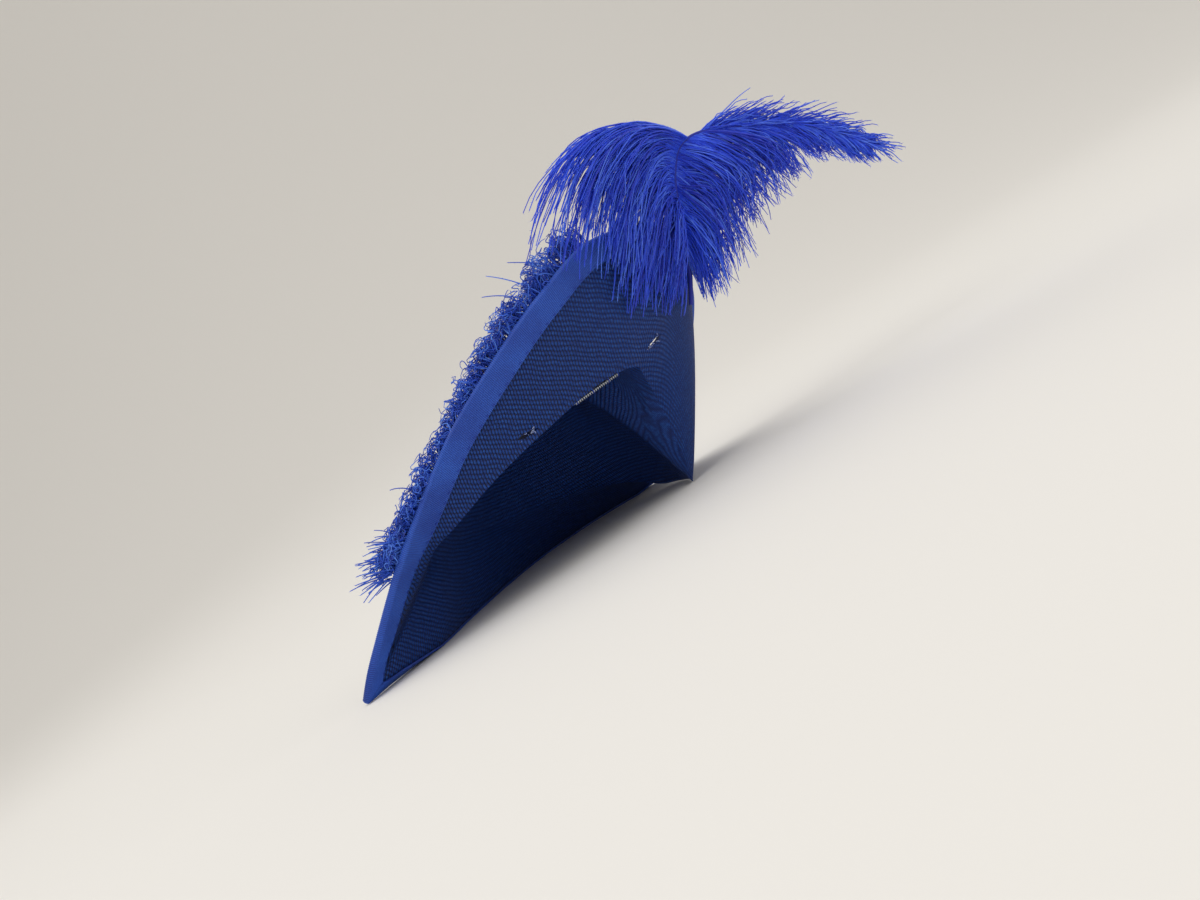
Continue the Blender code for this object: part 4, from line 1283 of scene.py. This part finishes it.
class StrawSettings(bpy.types.PropertyGroup):
    row_pitch: length("Row spacing", "From one row of straw to the next", 0.0024)
    stitch_pitch: length("Stitch spacing", "From one stitch to the next along a row", 0.0015)
    open_from: length("Open weave ends", "Where the open weave starts to close, along the hat", -0.03)
    open_to: length("Close weave starts", "Where the weave is closed, along the hat", 0.04)
    colour: colour("Straw", "Colour of the straw", "#082D76")
    # The colour of the painted highlight on the raised strands
    light_colour: colour("Straw shine", "Colour of its brightest strands", "#194B9C")
    # Painted shade in the open stitches and between the rows
    gap_shade_colour: colour("Gaps", "Colour between the stitches", "#020C32")


class FraySettings(bpy.types.PropertyGroup):
    count: number("Ends", "Broken ends at each slit", 12)
    length: length("Length", "Length of the longest end", 0.0028)
    thickness: length("Thickness", "Thickness of an end", 0.0005)
    seed: number("Seed", "Changes how they lie", 4)


class RibbonSettings(bpy.types.PropertyGroup):
    rib_pitch: length("Rib spacing", "From one rib of the ribbon to the next", 0.00095)
    colour: colour("Ribbon", "Colour of the ribbon", "#0B2C84")
    # The colour of the painted shine on the yarns
    light_colour: colour("Ribbon shine", "Colour of its brightest yarns", "#1042A8")
    # The colour of the painted highlight on the ribs
    rib_highlight_colour: colour("Ribs", "Colour of its ribs", "#2C64CC")


class StitchSettings(bpy.types.PropertyGroup):
    spacing: length("Spacing", "From one stitch to the next", 0.006)
    length: length("Length", "Length of a stitch", 0.002)
    thickness: length("Thickness", "Thickness of the thread", 0.0004)
    inset: length("Inset", "From the ribbon's border", 0.0009)
    colour: colour("Thread", "Colour of the thread", "#12309A")


class TrimSettings(bpy.types.PropertyGroup):
    count: number("Barbs", "Curled barbs in the trim", 1500)
    fringe_count: number("Fringe", "Straight barbs at its low end", 70)
    thickness: length("Thickness", "Thickness of a barb where it starts", 0.0009)
    barbule_spacing: length("Barbule spacing", "From one barbule to the next", 0.0016)
    barbule_length: length("Barbule length", "Length of a barbule", 0.0011)
    seed: number("Seed", "Changes how the barbs curl", 7)
    dark_colour: colour("Shaded", "Colour of the darkest barbs", "#0C2E9C")
    colour: colour("Trim", "Colour of most barbs", "#1E56D6")
    light_colour: colour("Bright", "Colour of the brightest barbs", "#6298FA")


class PlumeSettings(bpy.types.PropertyGroup):
    left_count: number("Left barbs", "Barbs of the vane that hangs forward", 980)
    right_count: number("Right barbs", "Barbs of the vane behind", 900)
    tail_count: number("Tail barbs", "Barbs on each side of the tail", 380)
    barb_thickness: length("Barb thickness", "Thickness of a barb where it starts", 0.001)
    spread: length("Spread", "How far clumps of barbs part", 0.0045)
    barbule_spacing: length("Barbule spacing", "From one barbule to the next", 0.0022)
    barbule_length: length("Barbule length", "Length of a barbule", 0.0016)
    seed: number("Seed", "Changes how the barbs fall", 11)
    dark_colour: colour("Shaded", "Colour of the darkest barbs", "#0E2AC0")
    colour: colour("Plume", "Colour of most barbs", "#1F50F0")
    light_colour: colour("Bright", "Colour of the brightest barbs", "#5C88FF")
    quill_colour: colour("Shaft", "Colour of the shaft", "#16269C")


class CombSettings(bpy.types.PropertyGroup):
    teeth: number("Teeth", "Looped teeth of the comb", 9)
    pitch: length("Tooth spacing", "From one tooth to the next", 0.0035)
    wire: length("Wire", "Thickness of the wire", 0.0008)
    thread_colour: colour("Thread", "Colour of the thread", "#1C3FA8")


class StageSettings(bpy.types.PropertyGroup):
    floor_colour: colour("Floor", "Colour of the floor", "#E9E7E3")
    room_colour: colour("Room", "Colour of the light all round", "#F2EEE8")
    room_light: bpy.props.FloatProperty(name="Room light", description="How bright the room is", default=0.66)
    key_power: bpy.props.FloatProperty(name="Key light", description="Power of the main light", default=7.5)
    focal_length: bpy.props.FloatProperty(name="Lens", description="Focal length", default=32.7)
    camera_roll: bpy.props.FloatProperty(
        name="Roll", description="How far the camera is rolled", default=WORN_TILT, subtype="ANGLE"
    )
    camera_fall: bpy.props.FloatProperty(
        name="Fall", description="How far it looks down", default=math.radians(3), subtype="ANGLE"
    )
    camera_from_point: bpy.props.FloatVectorProperty(
        name="Place", description="Its place from the hat's point", default=(0.1609, -0.527, 0.073), size=3
    )


class WeaveStraw(bpy.types.Operator):
    """Makes the woven straw shell with its two slits"""

    bl_idname = "fascinator.weave_straw"
    bl_label = "Weave Straw"

    def execute(self, context):
        make_straw(context.scene.fascinator_straw)
        return {"FINISHED"}


class FraySlits(bpy.types.Operator):
    """Makes the broken straw ends at the slits"""

    bl_idname = "fascinator.fray_slits"
    bl_label = "Fray Slits"

    def execute(self, context):
        make_frays(context.scene.fascinator_frays)
        return {"FINISHED"}


class BindEdge(bpy.types.Operator):
    """Makes the ribbed ribbon over the edge"""

    bl_idname = "fascinator.bind_edge"
    bl_label = "Bind Edge"

    def execute(self, context):
        make_ribbon(context.scene.fascinator_ribbon)
        return {"FINISHED"}


class StitchRibbon(bpy.types.Operator):
    """Makes the stitches that hold the ribbon"""

    bl_idname = "fascinator.stitch_ribbon"
    bl_label = "Stitch Ribbon"

    def execute(self, context):
        make_stitches(context.scene.fascinator_stitches)
        return {"FINISHED"}


class CurlTrim(bpy.types.Operator):
    """Makes the curled trim inside the edge"""

    bl_idname = "fascinator.curl_trim"
    bl_label = "Curl Trim"

    def execute(self, context):
        make_trim(context.scene.fascinator_trim)
        return {"FINISHED"}


class SetPlume(bpy.types.Operator):
    """Makes the plume's shaft and barbs"""

    bl_idname = "fascinator.set_plume"
    bl_label = "Set Plume"

    def execute(self, context):
        make_plume(context.scene.fascinator_plume)
        return {"FINISHED"}


class BendComb(bpy.types.Operator):
    """Makes the wire comb and its thread"""

    bl_idname = "fascinator.bend_comb"
    bl_label = "Bend Comb"

    def execute(self, context):
        make_comb(context.scene.fascinator_comb)
        return {"FINISHED"}


class SetStage(bpy.types.Operator):
    """Makes the floor, the lights and the camera"""

    bl_idname = "fascinator.set_stage"
    bl_label = "Set Stage"

    def execute(self, context):
        make_stage(context.scene.fascinator_stage)
        return {"FINISHED"}


SETTINGS = {
    "fascinator_straw": StrawSettings,
    "fascinator_frays": FraySettings,
    "fascinator_ribbon": RibbonSettings,
    "fascinator_stitches": StitchSettings,
    "fascinator_trim": TrimSettings,
    "fascinator_plume": PlumeSettings,
    "fascinator_comb": CombSettings,
    "fascinator_stage": StageSettings,
}
STEPS_IN_ORDER = (
    WeaveStraw,
    FraySlits,
    BindEdge,
    StitchRibbon,
    CurlTrim,
    SetPlume,
    BendComb,
    SetStage,
)


class FascinatorPanel(bpy.types.Panel):
    """The fascinator's pieces in the order they are made"""

    bl_idname = "VIEW3D_PT_fascinator"
    bl_label = "Straw Fascinator"
    bl_space_type = "VIEW_3D"
    bl_region_type = "UI"
    bl_category = "Fascinator"

    def draw(self, context):
        for (key, settings), step in zip(SETTINGS.items(), STEPS_IN_ORDER):
            box = self.layout.box()
            box.operator(step.bl_idname)
            for name in settings.__annotations__:
                box.prop(getattr(context.scene, key), name)


def register():
    for kind in (*SETTINGS.values(), *STEPS_IN_ORDER, FascinatorPanel):
        bpy.utils.register_class(kind)
    for key, kind in SETTINGS.items():
        setattr(bpy.types.Scene, key, bpy.props.PointerProperty(type=kind))


def unregister():
    for key in SETTINGS:
        delattr(bpy.types.Scene, key)
    for kind in reversed((*SETTINGS.values(), *STEPS_IN_ORDER, FascinatorPanel)):
        bpy.utils.unregister_class(kind)


def main():
    """Makes every piece in order."""
    register()
    for step in STEPS_IN_ORDER:
        group, name = step.bl_idname.split(".")
        getattr(getattr(bpy.ops, group), name)()


if __name__ == "__main__":
    main()
